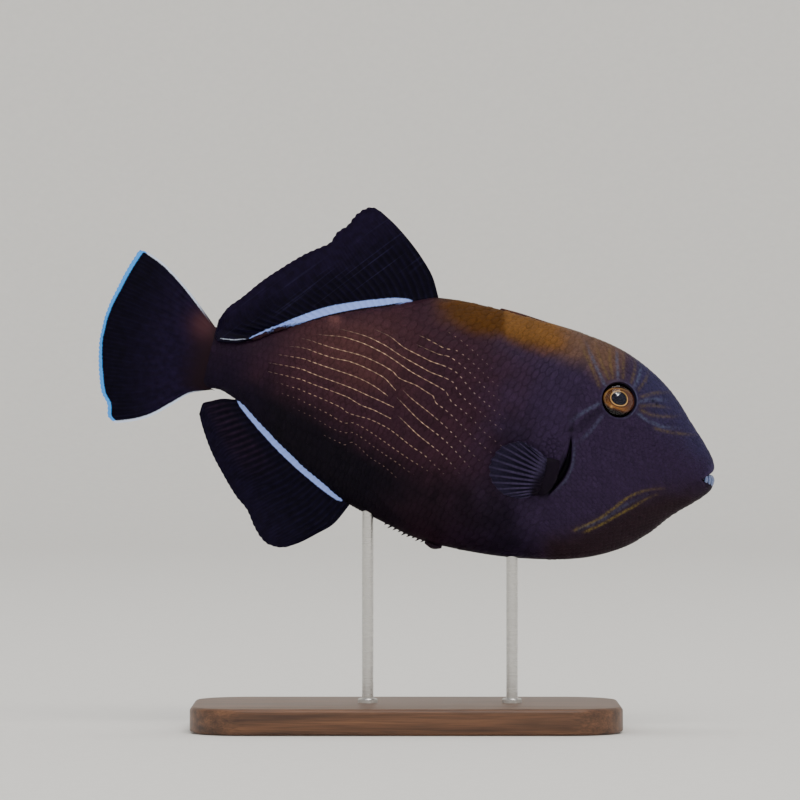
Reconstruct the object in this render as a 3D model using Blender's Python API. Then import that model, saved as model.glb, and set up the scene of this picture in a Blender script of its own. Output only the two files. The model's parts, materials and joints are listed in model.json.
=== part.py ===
"""Blackfin triggerfish, life size, held head-down in a swimming pose on a plain display stand.

Lengths in the constants are millimetres in the fish's own frame: s runs back from the snout along the
body axis, y is across the body with the fish's right side at -y, and h rises towards the back.
place() turns that frame into the world, in metres, with +X ahead of the fish and +Z up.
"""

import math

import bmesh
import bpy
import numpy as np
from mathutils import Matrix, Vector

# Driving sizes
MM = 0.001
PITCH = math.radians(13.0)  # the swimming fish points this far below the horizontal
SNOUT_X = 107.8  # puts the middle of the whole length over the origin
SNOUT_HEIGHT = 89.1
GAP = 0.3  # air kept between neighbouring solids
FIN_GAP = 0.4  # the same under the dorsal and anal fins, whose curved roots the body's facets cut across

# Outlines of the body along its axis, as (s, h)
BACK = [
    (0.0, 1.6), (3.7, 6.7), (6.8, 10.2), (12.6, 16.6), (17.6, 21.7), (22.5, 25.9), (29.3, 30.2),
    (35.9, 33.3), (41.8, 35.3), (48.4, 36.7), (56.4, 37.8), (72.0, 38.8), (84.0, 39.4), (96.0, 39.5),
    (108.0, 38.6), (117.0, 35.2), (125.4, 31.4), (134.3, 28.0), (142.5, 24.4), (151.6, 19.6),
    (160.1, 14.8), (168.0, 11.4), (175.0, 10.2), (182.0, 10.9),
]
BELLY = [
    (0.0, -4.0), (2.1, -8.4), (4.3, -10.5), (7.0, -12.6), (10.0, -15.8), (14.2, -21.4), (18.5, -26.4),
    (24.6, -31.9), (31.3, -36.1), (39.1, -39.5), (47.2, -41.8), (55.5, -43.5), (63.8, -44.8),
    (72.2, -45.6), (80.7, -46.0), (89.3, -46.1), (98.1, -45.3), (107.3, -43.1), (116.4, -40.9),
    (124.4, -38.5), (130.2, -35.7), (141.9, -29.6), (156.7, -20.4), (169.1, -12.3), (176.0, -10.2),
    (182.0, -10.9),
]
# Half the body's width, the height of its widest point and how sharp its back and belly are
HALF_WIDTH = [
    (0.0, 3.6), (6.0, 5.6), (13.0, 8.3), (22.0, 10.9), (32.0, 13.4), (42.0, 15.4), (53.0, 17.0),
    (66.0, 17.8), (82.0, 17.2), (100.0, 15.0), (120.0, 11.9), (140.0, 8.7), (160.0, 6.0),
    (172.0, 4.8), (182.0, 4.2),
]
WIDEST_AT = [(0.0, 0.0), (20.0, 0.10), (45.0, 0.14), (70.0, 0.08), (110.0, 0.04), (182.0, 0.0)]
BACK_POWER = [(0.0, 1.0), (18.0, 0.85), (42.0, 0.82), (64.0, 1.0), (100.0, 1.2), (182.0, 1.15)]
BELLY_POWER = [(0.0, 1.0), (20.0, 1.0), (50.0, 1.15), (85.0, 1.3), (120.0, 1.25), (182.0, 1.15)]

# Mouth: a small slit at the tip, its lips turned out and its corners set back
FACE_END = 13.0
MOUTH_HALF_WIDTH = 4.4
MOUTH_TOP = (1.1, 0.1)
MOUTH_CORNER = (4.4, -3.3)
MOUTH_FLOOR = (0.1, -3.2)
MOUTH_DEPTH = 3.6
LIP_FORWARD = (3.5, 1.2, 3.1)  # at the top, corner and floor of the mouth
LIP_OUTWARD = (3.2, 1.2, 3.2)
FACE_PULL = 7.0
FACE_STEPS = (0.0, 0.07, 0.15, 0.25, 0.37, 0.5, 0.66, 0.83)
TEETH = 8
TOOTH_WIDTH, TOOTH_THICK = 1.2, 1.0
UPPER_TOOTH_SHOWS, LOWER_TOOTH_SHOWS = 0.9, 2.2
TOOTH_ROOT = 1.6
TOOTH_INSET = 0.22
# Shares of a tooth's height, width and thickness, from its root to its edge
TOOTH_SHAPE = ((0.0, 0.42, 0.5), (0.45, 0.5, 0.5), (0.86, 0.46, 0.38), (1.0, 0.3, 0.14))

# Where the head ends, as (h, s): along the gill slit on the sides
HEAD_EDGE = [
    (-46.0, 57.5), (-32.0, 57.0), (-21.0, 55.2), (-13.2, 51.2), (-8.0, 50.0), (-2.0, 50.2),
    (4.0, 51.2), (20.0, 52.8), (40.0, 53.2),
]
SLIT_TOP, SLIT_FOOT = 1.5, -20.5
SLIT_WIDTH, SLIT_DEPTH = 2.6, 2.6
EDGE_WIDTH, EDGE_DEPTH = 0.35, 0.5  # what is left of the slit above and below it
TRUNK_END = 152.0
STALK_END = 181.7

# Patch of raised scutes behind the top of the gill slit: one in the middle and a ring round it
SCUTES_AT = (57.6, -3.4)
SCUTE_RADIUS, SCUTE_SPACING, SCUTE_RISE = 0.95, 1.95, 0.4
SCUTES_ROUND = 6

# Eyes
EYE_AT = (38.3, 18.1)
EYE_RADIUS = 6.6
EYE_DEPTH = 5.0
EYE_BULGE = 2.0
RIM_RADIUS, RIM_THICK, RIM_RISE = 6.3, 0.62, 0.1
NOSTRILS = ((27.2, 20.0), (25.4, 19.0))
NOSTRIL_RADIUS, NOSTRIL_DEPTH = 0.55, 1.4

# Soft dorsal, anal and tail fins, each as the outline it has in side view
DORSAL_RAYS, ANAL_RAYS, TAIL_RAYS, PECTORAL_RAYS = 31, 28, 12, 14
DORSAL_BASE = (108.0, 169.5)
DORSAL_FRONT = [(111.5, 45.0), (116.0, 50.0), (122.0, 55.3), (129.0, 60.3), (134.5, 63.4)]
DORSAL_MARGIN = [
    (134.5, 63.4), (137.4, 64.2), (139.8, 63.3), (142.8, 60.2), (144.6, 56.3), (147.9, 52.6),
    (149.2, 49.0), (152.3, 46.4), (157.2, 42.7), (164.3, 35.8), (169.4, 30.4), (174.9, 23.2),
    (178.9, 18.4), (180.9, 13.6),
]
DORSAL_REAR = [(173.5, 9.2), (177.5, 7.4), (180.4, 7.6), (180.9, 13.6)]
ANAL_BASE = (122.0, 169.3)
ANAL_FRONT = [(125.9, -47.0), (131.1, -51.9), (136.0, -56.0), (140.4, -58.7)]
ANAL_MARGIN = [
    (140.4, -58.7), (143.5, -59.4), (146.5, -59.2), (149.5, -57.6), (152.7, -54.4), (156.6, -49.2),
    (161.4, -45.4), (167.0, -39.6), (173.0, -32.6), (178.1, -24.7), (180.4, -20.2),
]
ANAL_REAR = [(173.2, -12.9), (177.2, -14.6), (180.1, -16.4), (180.4, -20.2)]
TAIL_UPPER = [(187.8, 16.2), (193.4, 20.9), (200.0, 25.7), (205.4, 28.9), (210.6, 31.0)]
TAIL_MARGIN = [
    (210.6, 31.0), (213.6, 31.2), (214.9, 28.6), (216.9, 22.6), (218.7, 15.4), (219.9, 10.0),
    (220.5, 4.2), (220.5, -1.6), (219.6, -7.8), (218.2, -13.4), (215.8, -20.1), (212.7, -24.2),
    (211.6, -28.0), (208.6, -29.9),
]
TAIL_LOWER = [(184.8, -13.6), (190.1, -18.7), (195.8, -23.9), (199.8, -26.5), (204.6, -28.6)]
MEMBRANE = 0.55
RAY_ROOT, RAY_TIP = 0.85, 0.42  # what a ray adds to the membrane at its root and near its tip
FIN_FOOT = 1.3  # what the fleshy foot of the dorsal and anal fins adds
DORSAL_LEAN, DORSAL_WAVE = -5.2, 1.6
HANG_FROM, HANG_CLEAR = 2.0, 0.85  # the rear lobe swings out from this far above the back, to clear the flank
ANAL_LEAN, ANAL_WAVE = 1.6, 1.7
TAIL_SWEEP, TAIL_WAVE = 2.4, 0.9

# Pectoral fins: the front edge and the rear edge of the fleshy lobe, and the outline of the rays
LOBE_FRONT = [(54.4, -7.4), (53.9, -12.0), (55.0, -17.0), (57.4, -20.8)]
LOBE_REAR = [(59.2, -7.6), (58.9, -12.0), (58.9, -16.5), (60.0, -21.2)]
LOBE_THICK = 2.3
LOBE_SHARE = 0.3  # share of the fin's grid that the lobe takes
PECTORAL_TIPS = [
    (64.6, -5.2), (68.7, -4.1), (73.7, -6.1), (76.6, -9.3), (77.9, -14.2), (77.0, -18.1), (74.1, -21.4),
    (69.8, -23.5), (65.0, -23.6),
]
PECTORAL_TIP_OUT = 3.6
PECTORAL_CLEAR = 0.15  # beyond the usual gap, for the facets of the flank

# Locked-down first dorsal fin: three spines lying back in a groove
GROOVE = (54.5, 88.0)
GROOVE_DEPTH = 2.4
SPINE_SINK = 1.5  # how far below the line of the back the spines' undersides lie
SPINES = ((56.6, 28.0, 1.0), (67.0, 13.0, 0.75), (77.5, 8.5, 0.6))  # root s, length, half the root's width
SPINE_PROUD = 0.7

# Pelvic knob and the row of small points behind it
PELVIC_AT = 87.2
PELVIC_LENGTH, PELVIC_RADIUS = 6.2, 1.25
BELLY_POINTS = 9
BELLY_POINTS_FROM, BELLY_POINTS_TO = 93.6, 107.5
BELLY_POINT_LENGTH = 1.1

# Stand
BASE_LENGTH, BASE_DEPTH, BASE_HEIGHT, BASE_CORNER = 150.0, 84.0, 9.0, 20.0
BASE_CHAMFER = 1.6
ROD_RADIUS = 2.0
RODS = {"stand_rod_front": 37.0, "stand_rod_rear": -13.5}  # world x of each rod's axis

# How finely the solids are faceted
AROUND = 18  # steps from belly to back on one side
HEAD_RINGS, FRONT_RINGS, TRUNK_STEP, STALK_STEP = 9, 8, 4.0, 2.5

SKIN_COLOUR = (0.030, 0.022, 0.026, 1.0)
FIN_COLOUR = (0.008, 0.007, 0.014, 1.0)
STEEL_COLOUR = (0.62, 0.62, 0.63, 1.0)
WOOD_COLOUR = (0.10, 0.052, 0.030, 1.0)


def curve_through(points):
    """A smooth function through (x, value) points, with slopes limited so that it doesn't overshoot."""
    xs = np.array([p[0] for p in points], float)
    ys = np.array([p[1] for p in points], float)
    steps = np.diff(ys) / np.diff(xs)
    slopes = np.empty(len(xs))
    slopes[0], slopes[-1] = steps[0], steps[-1]
    for i in range(1, len(xs) - 1):
        before, after = steps[i - 1], steps[i]
        slopes[i] = 0.0 if before * after <= 0 else 2 * before * after / (before + after)

    def value(x):
        x = min(max(x, xs[0]), xs[-1])
        i = min(max(int(np.searchsorted(xs, x)) - 1, 0), len(xs) - 2)
        width = xs[i + 1] - xs[i]
        t = (x - xs[i]) / width
        start = (1 + 2 * t) * (1 - t) ** 2 * ys[i] + t * (1 - t) ** 2 * width * slopes[i]
        end = t * t * (3 - 2 * t) * ys[i + 1] + t * t * (t - 1) * width * slopes[i + 1]
        return float(start + end)

    return value


back = curve_through(BACK)
belly = curve_through(BELLY)
half_width = curve_through(HALF_WIDTH)
widest_at = curve_through(WIDEST_AT)
back_power = curve_through(BACK_POWER)
belly_power = curve_through(BELLY_POWER)
head_edge = curve_through(HEAD_EDGE)


def place(s, y, h):
    """A point of the fish's own frame, in millimetres, as a world point in metres."""
    x = SNOUT_X - s * math.cos(PITCH) + h * math.sin(PITCH)
    z = SNOUT_HEIGHT + s * math.sin(PITCH) + h * math.cos(PITCH)
    return Vector((x * MM, y * MM, z * MM))


def section(s, angle, side=1):
    """The point of the body's section at s, with angle from -90 degrees at the belly to 90 at the back."""
    top, low = back(s), belly(s)
    middle, reach = (top + low) / 2, (top - low) / 2
    rise = math.sin(angle) + widest_at(s) * math.cos(angle) ** 2
    power = back_power(s) if angle > 0 else belly_power(s)
    across = half_width(s) * max(math.cos(angle), 0.0) ** power
    return Vector((s, side * across, middle + reach * rise))


def angle_at(s, h):
    """The section angle whose point on the flank has height h."""
    low, high = -math.pi / 2, math.pi / 2
    for _ in range(40):
        middle = (low + high) / 2
        if section(s, middle).z < h:
            low = middle
        else:
            high = middle
    return (low + high) / 2


def flank(s, h, side=-1):
    return section(s, angle_at(s, h), side)


def angles():
    return [math.pi * (i / AROUND - 0.5) for i in range(AROUND + 1)]


def whole_ring(one_side):
    """A ring from the points of one side, belly to back, and their mirror images."""
    mirrored = [Vector((p.x, -p.y, p.z)) for p in one_side[1:-1]]
    return list(one_side) + mirrored[::-1]


def ladder(ring, first, forward):
    """Faces that close a ring by rungs from one side to the other."""
    count = len(ring)
    half = count // 2
    faces = []
    for i in range(half):
        a, b = first + i, first + i + 1
        c, d = first + (count - i - 1) % count, first + (count - i) % count
        corners = [a, b, c, d]
        unique = [v for n, v in enumerate(corners) if v not in corners[:n]]
        faces.append(unique if forward else unique[::-1])
    return faces


def loft(rings):
    """Vertices and faces of the closed solid through rings that run from the snout towards the tail."""
    verts = [p for ring in rings for p in ring]
    count = len(rings[0])
    faces = ladder(rings[0], 0, True)
    for r in range(len(rings) - 1):
        for i in range(count):
            a, b = r * count + i, r * count + (i + 1) % count
            c, d = b + count, a + count
            faces += [(a, d, c), (a, c, b)]
    faces += ladder(rings[-1], (len(rings) - 1) * count, False)
    return verts, faces


def new_object(name, verts, faces, material=None):
    """A mesh object from points of the fish's frame, with its faces turned out."""
    mesh = bpy.data.meshes.new(name)
    mesh.from_pydata([place(*p) for p in verts], [], faces)
    return finish_object(name, mesh, material)


def finish_object(name, mesh, material):
    shape = bmesh.new()
    shape.from_mesh(mesh)
    bmesh.ops.recalc_face_normals(shape, faces=shape.faces)
    shape.to_mesh(mesh)
    shape.free()
    obj = bpy.data.objects.new(name, mesh)
    bpy.context.scene.collection.objects.link(obj)
    if material:
        mesh.materials.append(material)
    mesh.shade_smooth()
    mesh.set_sharp_from_angle(angle=math.radians(40))
    return obj


def combine(target, others, operation):
    """Joins the objects to the target, or cuts them from it, and removes them."""
    group = bpy.data.collections.new("pieces")
    bpy.context.scene.collection.children.link(group)
    for obj in others:
        bpy.context.scene.collection.objects.unlink(obj)
        group.objects.link(obj)
    step = target.modifiers.new("combine", "BOOLEAN")
    step.operation, step.operand_type, step.collection = operation, "COLLECTION", group
    step.solver = "EXACT"
    with bpy.context.temp_override(object=target, active_object=target):
        bpy.ops.object.modifier_apply(modifier=step.name)
    for obj in others:
        bpy.data.objects.remove(obj)
    bpy.data.collections.remove(group)
    keep_largest(target)


def keep_largest(obj):
    """Leaves only the largest closed surface of the mesh."""
    shape = bmesh.new()
    shape.from_mesh(obj.data)
    bmesh.ops.remove_doubles(shape, verts=shape.verts, dist=0.002 * MM)
    left, groups = set(shape.faces), []
    while left:
        found, queue = set(), [left.pop()]
        while queue:
            face = queue.pop()
            found.add(face)
            for edge in face.edges:
                for other in edge.link_faces:
                    if other in left:
                        left.discard(other)
                        queue.append(other)
        groups.append(found)
    largest = max(groups, key=len)
    loose = [f for group in groups if group is not largest for f in group]
    bmesh.ops.delete(shape, geom=loose, context="FACES")
    bmesh.ops.triangulate(shape, faces=shape.faces)
    shape.to_mesh(obj.data)
    shape.free()


def material(name, colour, roughness, metallic=0.0):
    made = bpy.data.materials.new(name)
    made.use_nodes = True
    shader = made.node_tree.nodes["Principled BSDF"]
    shader.inputs["Base Color"].default_value = colour
    shader.inputs["Roughness"].default_value = roughness
    shader.inputs["Metallic"].default_value = metallic
    return made


def by_angle(values, angle):
    """Blends the values for the back, the side and the belly by the section angle."""
    top, side, low = values
    amount = abs(math.sin(angle))
    return side + ((top if angle > 0 else low) - side) * amount


def mouth_edge(angle, inwards=0.0):
    """The mouth's rim, or the rim of its inside when inwards is 1."""
    end = MOUTH_TOP if angle > 0 else MOUTH_FLOOR
    amount = abs(math.sin(angle))
    s = MOUTH_CORNER[0] + (end[0] - MOUTH_CORNER[0]) * amount
    h = MOUTH_CORNER[1] + (end[1] - MOUTH_CORNER[1]) * amount
    middle = (MOUTH_TOP[1] + MOUTH_FLOOR[1]) / 2
    s += MOUTH_DEPTH * inwards * (0.5 + 0.5 * amount)
    h += (middle - h) * 0.3 * inwards
    return Vector((s, MOUTH_HALF_WIDTH * math.cos(angle) * (1 - 0.3 * inwards), h))


def face_point(angle, t):
    """A point of the snout: t runs from the mouth's rim at 0, over the lip, to the head at FACE_END."""
    start, end = mouth_edge(angle), section(FACE_END, angle)
    outward = Vector((0, math.cos(angle), math.sin(angle)))
    lip = start + Vector((-by_angle(LIP_FORWARD, angle), 0, 0)) + outward * by_angle(LIP_OUTWARD, angle)
    along = (section(FACE_END, angle) - section(FACE_END + 1, angle)).normalized()
    cheek = end + along * FACE_PULL
    return (
        start * (1 - t) ** 3
        + lip * 3 * t * (1 - t) ** 2
        + cheek * 3 * t * t * (1 - t)
        + end * t**3
    )


def in_slit(h):
    """1 along the gill slit, 0 beyond its ends."""
    return min(max((SLIT_TOP - h) / 4, 0), max((h - SLIT_FOOT) / 4, 0), 1)


def edge_ring(offset=0.0, opened=False, sunk=False):
    """The ring where the head meets the trunk, moved back by offset.

    Opened, it is moved back by the slit's width as well; sunk, it lies as deep as the slit's floor.
    """
    points = []
    for angle in angles():
        h = section(54.0, angle).z
        inside = in_slit(h)
        s = head_edge(h) + offset
        if opened:
            s += EDGE_WIDTH + (SLIT_WIDTH - EDGE_WIDTH) * inside
        point = section(s, angle)
        if sunk:
            depth = EDGE_DEPTH + (SLIT_DEPTH - EDGE_DEPTH) * inside
            inwards = Vector((0, -math.cos(angle), -math.sin(angle)))
            point += inwards * depth
            point.y = max(point.y, 0.0)
        points.append(point)
    return points


def blend_rings(first, last, count):
    """Rings on the body between two rings, with neither of them among the result."""
    made = []
    for n in range(1, count):
        share = n / count
        made.append([section(a.x + (b.x - a.x) * share, angle) for a, b, angle in zip(first, last, angles())])
    return made


def planar_ring(s):
    return [section(s, angle) for angle in angles()]


def tooth(angle, upper):
    """One chisel-shaped incisor standing in the jaw, its root sunk behind the lip."""
    foot = mouth_edge(angle, TOOTH_INSET)
    shows = UPPER_TOOTH_SHOWS if upper else LOWER_TOOTH_SHOWS
    up = Vector((-0.35, 0, -1.0 if upper else 1.0)).normalized()
    turn = math.atan2(foot.y, MOUTH_HALF_WIDTH)
    across = Matrix.Rotation(-turn, 3, "Z") @ Vector((0, 1, 0))
    front = up.cross(across).normalized()
    verts, faces = [], []
    for height, wide, thick in TOOTH_SHAPE:
        centre = foot + up * (height * (shows + TOOTH_ROOT) - TOOTH_ROOT)
        for x, y in ((-1, -1), (1, -1), (1, 1), (-1, 1)):
            verts.append(centre + across * x * wide * TOOTH_WIDTH + front * y * thick * TOOTH_THICK)
    last = 4 * (len(TOOTH_SHAPE) - 1)
    faces += [(0, 1, 2, 3), (last, last + 1, last + 2, last + 3)]
    for level in range(0, last, 4):
        for i in range(4):
            j = (i + 1) % 4
            faces.append((level + i, level + j, level + j + 4, level + i + 4))
    return verts, faces


def eye_frame(side):
    """Centre of the eye on the skin, and its axis, pointing out square to the skin."""
    s, h = EYE_AT
    along = flank(s + RIM_RADIUS, h, side) - flank(s - RIM_RADIUS, h, side)
    up = flank(s, h + RIM_RADIUS, side) - flank(s, h - RIM_RADIUS, side)
    return flank(s, h, side), (along.cross(up) * -side).normalized()


def turned_about(centre, axis, profile, steps):
    """A closed solid turned about an axis, from (distance along the axis, radius) points."""
    aside = axis.orthogonal().normalized()
    other = axis.cross(aside)
    verts, faces, rows = [], [], []
    for along, radius in profile:
        start = len(verts)
        if radius < 1e-9:
            verts.append(centre + axis * along)
            rows.append([start] * steps)
            continue
        for i in range(steps):
            a = 2 * math.pi * i / steps
            verts.append(centre + axis * along + (aside * math.cos(a) + other * math.sin(a)) * radius)
        rows.append(list(range(start, start + steps)))
    for low, high in zip(rows, rows[1:]):
        for i in range(steps):
            j = (i + 1) % steps
            corners = [low[i], low[j], high[j], high[i]]
            faces.append([v for n, v in enumerate(corners) if v not in corners[:n]])
    if profile[0][1] > 0:
        faces.append(rows[0][::-1])
    if profile[-1][1] > 0:
        faces.append(rows[-1])
    return verts, faces


def ball_profile(radius, depth, steps):
    """Points along and out from the axis of a ball of two depths, from pole to pole."""
    turns = [math.pi * i / steps for i in range(1, steps)]
    return [(-depth, 0.0)] + [(-depth * math.cos(a), radius * math.sin(a)) for a in turns] + [(depth, 0.0)]


def torus(centre, axis, radius, thick, steps, sides):
    """A ring of round section about an axis."""
    aside = axis.orthogonal().normalized()
    other = axis.cross(aside)
    verts, faces = [], []
    for i in range(steps):
        a = 2 * math.pi * i / steps
        out = aside * math.cos(a) + other * math.sin(a)
        for j in range(sides):
            b = 2 * math.pi * j / sides
            verts.append(centre + out * (radius + thick * math.cos(b)) + axis * thick * math.sin(b))
    for i in range(steps):
        for j in range(sides):
            a, b = i * sides + j, i * sides + (j + 1) % sides
            c, d = ((i + 1) % steps) * sides + (j + 1) % sides, ((i + 1) % steps) * sides + j
            faces.append((a, b, c, d))
    return verts, faces


def make_head(skin):
    """Head with lips, teeth, eye rims, eye sockets and nostrils."""
    rings = [[mouth_edge(a, 1.0) for a in angles()], [mouth_edge(a, 0.5) for a in angles()]]
    rings += [[face_point(a, t) for a in angles()] for t in FACE_STEPS]
    planar = [FACE_END + 3.0 * n for n in range(7)]
    rings += [planar_ring(s) for s in planar]
    last = edge_ring()
    rings += blend_rings(planar_ring(planar[-1]), last, HEAD_RINGS) + [last]
    head = new_object("head", *loft([whole_ring(r) for r in rings]), skin)
    added, cut = [], []
    for upper in (True, False):
        for n in range(TEETH):
            turn = math.radians(-63 + 126 * n / (TEETH - 1))
            angle = math.pi / 2 - abs(turn)
            verts, faces = tooth(angle if upper else -angle, upper)
            if turn < 0:
                verts = [Vector((v.x, -v.y, v.z)) for v in verts]
            added.append(new_object("tooth", verts, faces))
    for side in (-1, 1):
        at, axis = eye_frame(side)
        added.append(new_object("rim", *torus(at + axis * RIM_RISE, axis, RIM_RADIUS, RIM_THICK, 24, 6)))
        centre = at + axis * (EYE_BULGE - EYE_DEPTH)
        socket = ball_profile(EYE_RADIUS + GAP, EYE_DEPTH + GAP, 8)
        cut.append(new_object("socket", *turned_about(centre, axis, socket, 20)))
        for s, h in NOSTRILS:
            point = flank(s, h, side)
            out = Vector((-0.2, side, 0.15)).normalized()
            hole = [(-NOSTRIL_DEPTH, NOSTRIL_RADIUS * 0.6), (NOSTRIL_DEPTH, NOSTRIL_RADIUS)]
            cut.append(new_object("nostril", *turned_about(point, out, hole, 7)))
    combine(head, added, "UNION")
    combine(head, cut, "DIFFERENCE")
    return head


def make_eyes(glass):
    for side, name in ((-1, "eye_right"), (1, "eye_left")):
        at, axis = eye_frame(side)
        centre = at + axis * (EYE_BULGE - EYE_DEPTH)
        new_object(name, *turned_about(centre, axis, ball_profile(EYE_RADIUS, EYE_DEPTH, 9), 22), glass)


def in_groove(s):
    """How deep the groove on the back is at s, as a share from 0 to 1."""
    start, end = GROOVE
    return min(max(min(s - start, end - s) / 3.0, 0.0), 1.0)


def grooved(ring):
    """The ring with its top point lowered where the first dorsal fin folds into the back."""
    top = ring[-1]
    return ring[:-1] + [Vector((top.x, top.y, top.z - GROOVE_DEPTH * in_groove(top.x)))]


def scute(s, h, side, radius):
    """A low six-sided bony plate standing out of the flank, its foot sunk in the skin."""
    at = flank(s, h, side)
    out = Vector((0, side, 0))
    return turned_about(at, out, [(-0.6, radius), (SCUTE_RISE * 0.6, radius), (SCUTE_RISE, radius * 0.6)], 6)


def make_trunk(skin):
    """Trunk from the gill slit to the tail stalk, with the groove on its back and points on its belly."""
    first = edge_ring(GAP, opened=True)
    inner = edge_ring(GAP, sunk=True)
    start = planar_ring(74.0)
    rings = [inner, first] + blend_rings(first, start, FRONT_RINGS)
    count = round((TRUNK_END - 74.0) / TRUNK_STEP)
    rings += [planar_ring(74.0 + (TRUNK_END - 74.0) * n / count) for n in range(count + 1)]
    trunk = new_object("trunk", *loft([whole_ring(grooved(r)) for r in rings]), skin)
    added = []
    for n in range(BELLY_POINTS):
        s = BELLY_POINTS_FROM + (BELLY_POINTS_TO - BELLY_POINTS_FROM) * n / (BELLY_POINTS - 1)
        foot = Vector((s, 0, belly(s) + 0.8))
        out = Vector((0.75, 0, -1.0)).normalized()
        length = BELLY_POINT_LENGTH * (0.8 + 0.3 * math.sin(2.1 * n))
        added.append(new_object("point", *turned_about(foot, out, [(0, 0.55), (0.8 + length, 0.0)], 5)))
    for side in (-1, 1):
        s, h = SCUTES_AT
        added.append(new_object("scute", *scute(s, h, side, SCUTE_RADIUS)))
        for n in range(SCUTES_ROUND):
            a = 2 * math.pi * n / SCUTES_ROUND + 0.3
            size = SCUTE_RADIUS * (0.9 + 0.08 * math.sin(3 * n))
            at = (s + SCUTE_SPACING * math.cos(a), h + SCUTE_SPACING * math.sin(a))
            added.append(new_object("scute", *scute(*at, side, size)))
    combine(trunk, added, "UNION")
    return trunk


def make_stalk(skin):
    """Tail stalk between the trunk and the tail fin."""
    start = TRUNK_END + GAP
    count = round((STALK_END - start) / STALK_STEP)
    rings = [planar_ring(start + (STALK_END - start) * n / count) for n in range(count + 1)]
    return new_object("tail_stalk", *loft([whole_ring(r) for r in rings]), skin)


def path(points):
    """A function from 0 to 1 along a smooth path through (s, h) points, by distance."""
    spots = [Vector((p[0], 0, p[1])) for p in points]
    reach = [0.0]
    for a, b in zip(spots, spots[1:]):
        reach.append(reach[-1] + (b - a).length)
    along_s = curve_through([(r / reach[-1], p.x) for r, p in zip(reach, spots)])
    along_h = curve_through([(r / reach[-1], p.z) for r, p in zip(reach, spots)])
    return lambda t: Vector((along_s(t), 0, along_h(t)))


def coons(root, margin, front, rear, u, v):
    """A point within four edges: u runs from the front one to the rear one, v from the root to the margin."""
    across = root(u) * (1 - v) + margin(u) * v
    along = front(v) * (1 - u) + rear(v) * u
    corners = (
        root(0) * (1 - u) * (1 - v) + root(1) * u * (1 - v) + margin(0) * (1 - u) * v + margin(1) * u * v
    )
    return across + along - corners


def thick_sheet(middle, thickness, grows=None):
    """A closed solid about a grid of points, as thick as the grid of thicknesses says.

    Where grows is given the root edge is square to it. Both faces are split along the same diagonals.
    """
    rows, columns = len(middle), len(middle[0])
    near, far = [], []
    for i in range(rows):
        for j in range(columns):
            along = middle[min(i + 1, rows - 1)][j] - middle[max(i - 1, 0)][j]
            across = middle[i][min(j + 1, columns - 1)] - middle[i][max(j - 1, 0)]
            up = grows if grows and i == 0 else along
            normal = up.cross(across).normalized() * thickness[i][j] / 2
            near.append(middle[i][j] + normal)
            far.append(middle[i][j] - normal)
    faces = []
    shift = rows * columns
    for i in range(rows - 1):
        for j in range(columns - 1):
            a, b = i * columns + j, i * columns + j + 1
            c, d = b + columns, a + columns
            faces += [(a, b, c), (a, c, d)]
            faces += [(a + shift, c + shift, b + shift), (a + shift, d + shift, c + shift)]
    rim = [j for j in range(columns)]
    rim += [i * columns + columns - 1 for i in range(1, rows)]
    rim += [(rows - 1) * columns + j for j in range(columns - 2, -1, -1)]
    rim += [i * columns for i in range(rows - 2, 0, -1)]
    for a, b in zip(rim, rim[1:] + rim[:1]):
        faces += [(a, a + shift, b + shift), (a, b + shift, b)]
    return near + far, faces


def ray_profile(u, rays):
    """1 on a ray and 0 between two rays, for u from 0 to 1 across all of them."""
    return 0.5 + 0.5 * math.cos(2 * math.pi * u * (rays - 1))


def fin_grid(rays, steps, point):
    """A grid with a column on each ray and one between, as (u, v, point) rows from root to margin."""
    columns = 2 * (rays - 1) + 1
    us = [n / (columns - 1) for n in range(columns)]
    return [[(u, v, point(u, v)) for u in us] for v in steps]


def fin_foot(u, v):
    """What the fleshy foot of the dorsal or anal fin adds to its thickness."""
    return FIN_FOOT * max(0.0, 1 - v / 0.2) ** 1.5 * math.sin(math.pi * min(u * 8, (1 - u) * 5, 0.5))


def fin_solid(grid, rays, grows):
    """Vertices and faces of a dorsal or anal fin, whose rays stand out on both sides."""
    thickness = []
    for row in grid:
        line = []
        for u, v, point in row:
            ray = RAY_ROOT + (RAY_TIP - RAY_ROOT) * v
            line.append(MEMBRANE + ray * ray_profile(u, rays) + fin_foot(u, v))
        thickness.append(line)
    return thick_sheet([[point for _, _, point in row] for row in grid], thickness, grows)


FIN_STEPS = (0.0, 0.07, 0.16, 0.36, 0.58, 0.8, 1.0)


def smooth(share):
    share = min(max(share, 0.0), 1.0)
    return share * share * (3 - 2 * share)


def hang(at, u, v):
    """Moves a point of the dorsal fin's rear lobe, which hangs below the back, out past the flank."""
    top = back(at.x)
    below = smooth((HANG_FROM - (at.z - top)) / HANG_FROM) * smooth((u - 0.7) / 0.25)
    below *= min(1.0, v / FIN_STEPS[1])
    out = abs(flank(at.x, min(at.z, top) - 0.6).y) + GAP + HANG_CLEAR
    return Vector((at.x, min(at.y, -out * below), at.z))


def make_dorsal_fin(skin):
    """Soft dorsal fin, high in front, its rear lobe leaning over the right side of the tail stalk."""
    first, last = DORSAL_BASE

    def root(t):
        s = first + (last - first) * t
        return Vector((s, 0, back(s) + FIN_GAP))

    margin = path(DORSAL_MARGIN)
    front = path([(first, back(first) + FIN_GAP)] + DORSAL_FRONT)
    rear = path([(last, back(last) + FIN_GAP)] + DORSAL_REAR)

    def point(u, v):
        at = coons(root, margin, front, rear, u, v)
        lean = DORSAL_LEAN * u**3 * v**1.2
        at.y = lean + DORSAL_WAVE * v**1.4 * math.sin(2 * math.pi * (1.3 * u + 0.1)) * (1 - u * u)
        return hang(at, u, v)

    grid = fin_grid(DORSAL_RAYS, FIN_STEPS, point)
    new_object("soft_dorsal_fin", *fin_solid(grid, DORSAL_RAYS, Vector((0, 0, 1))), skin)


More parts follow.
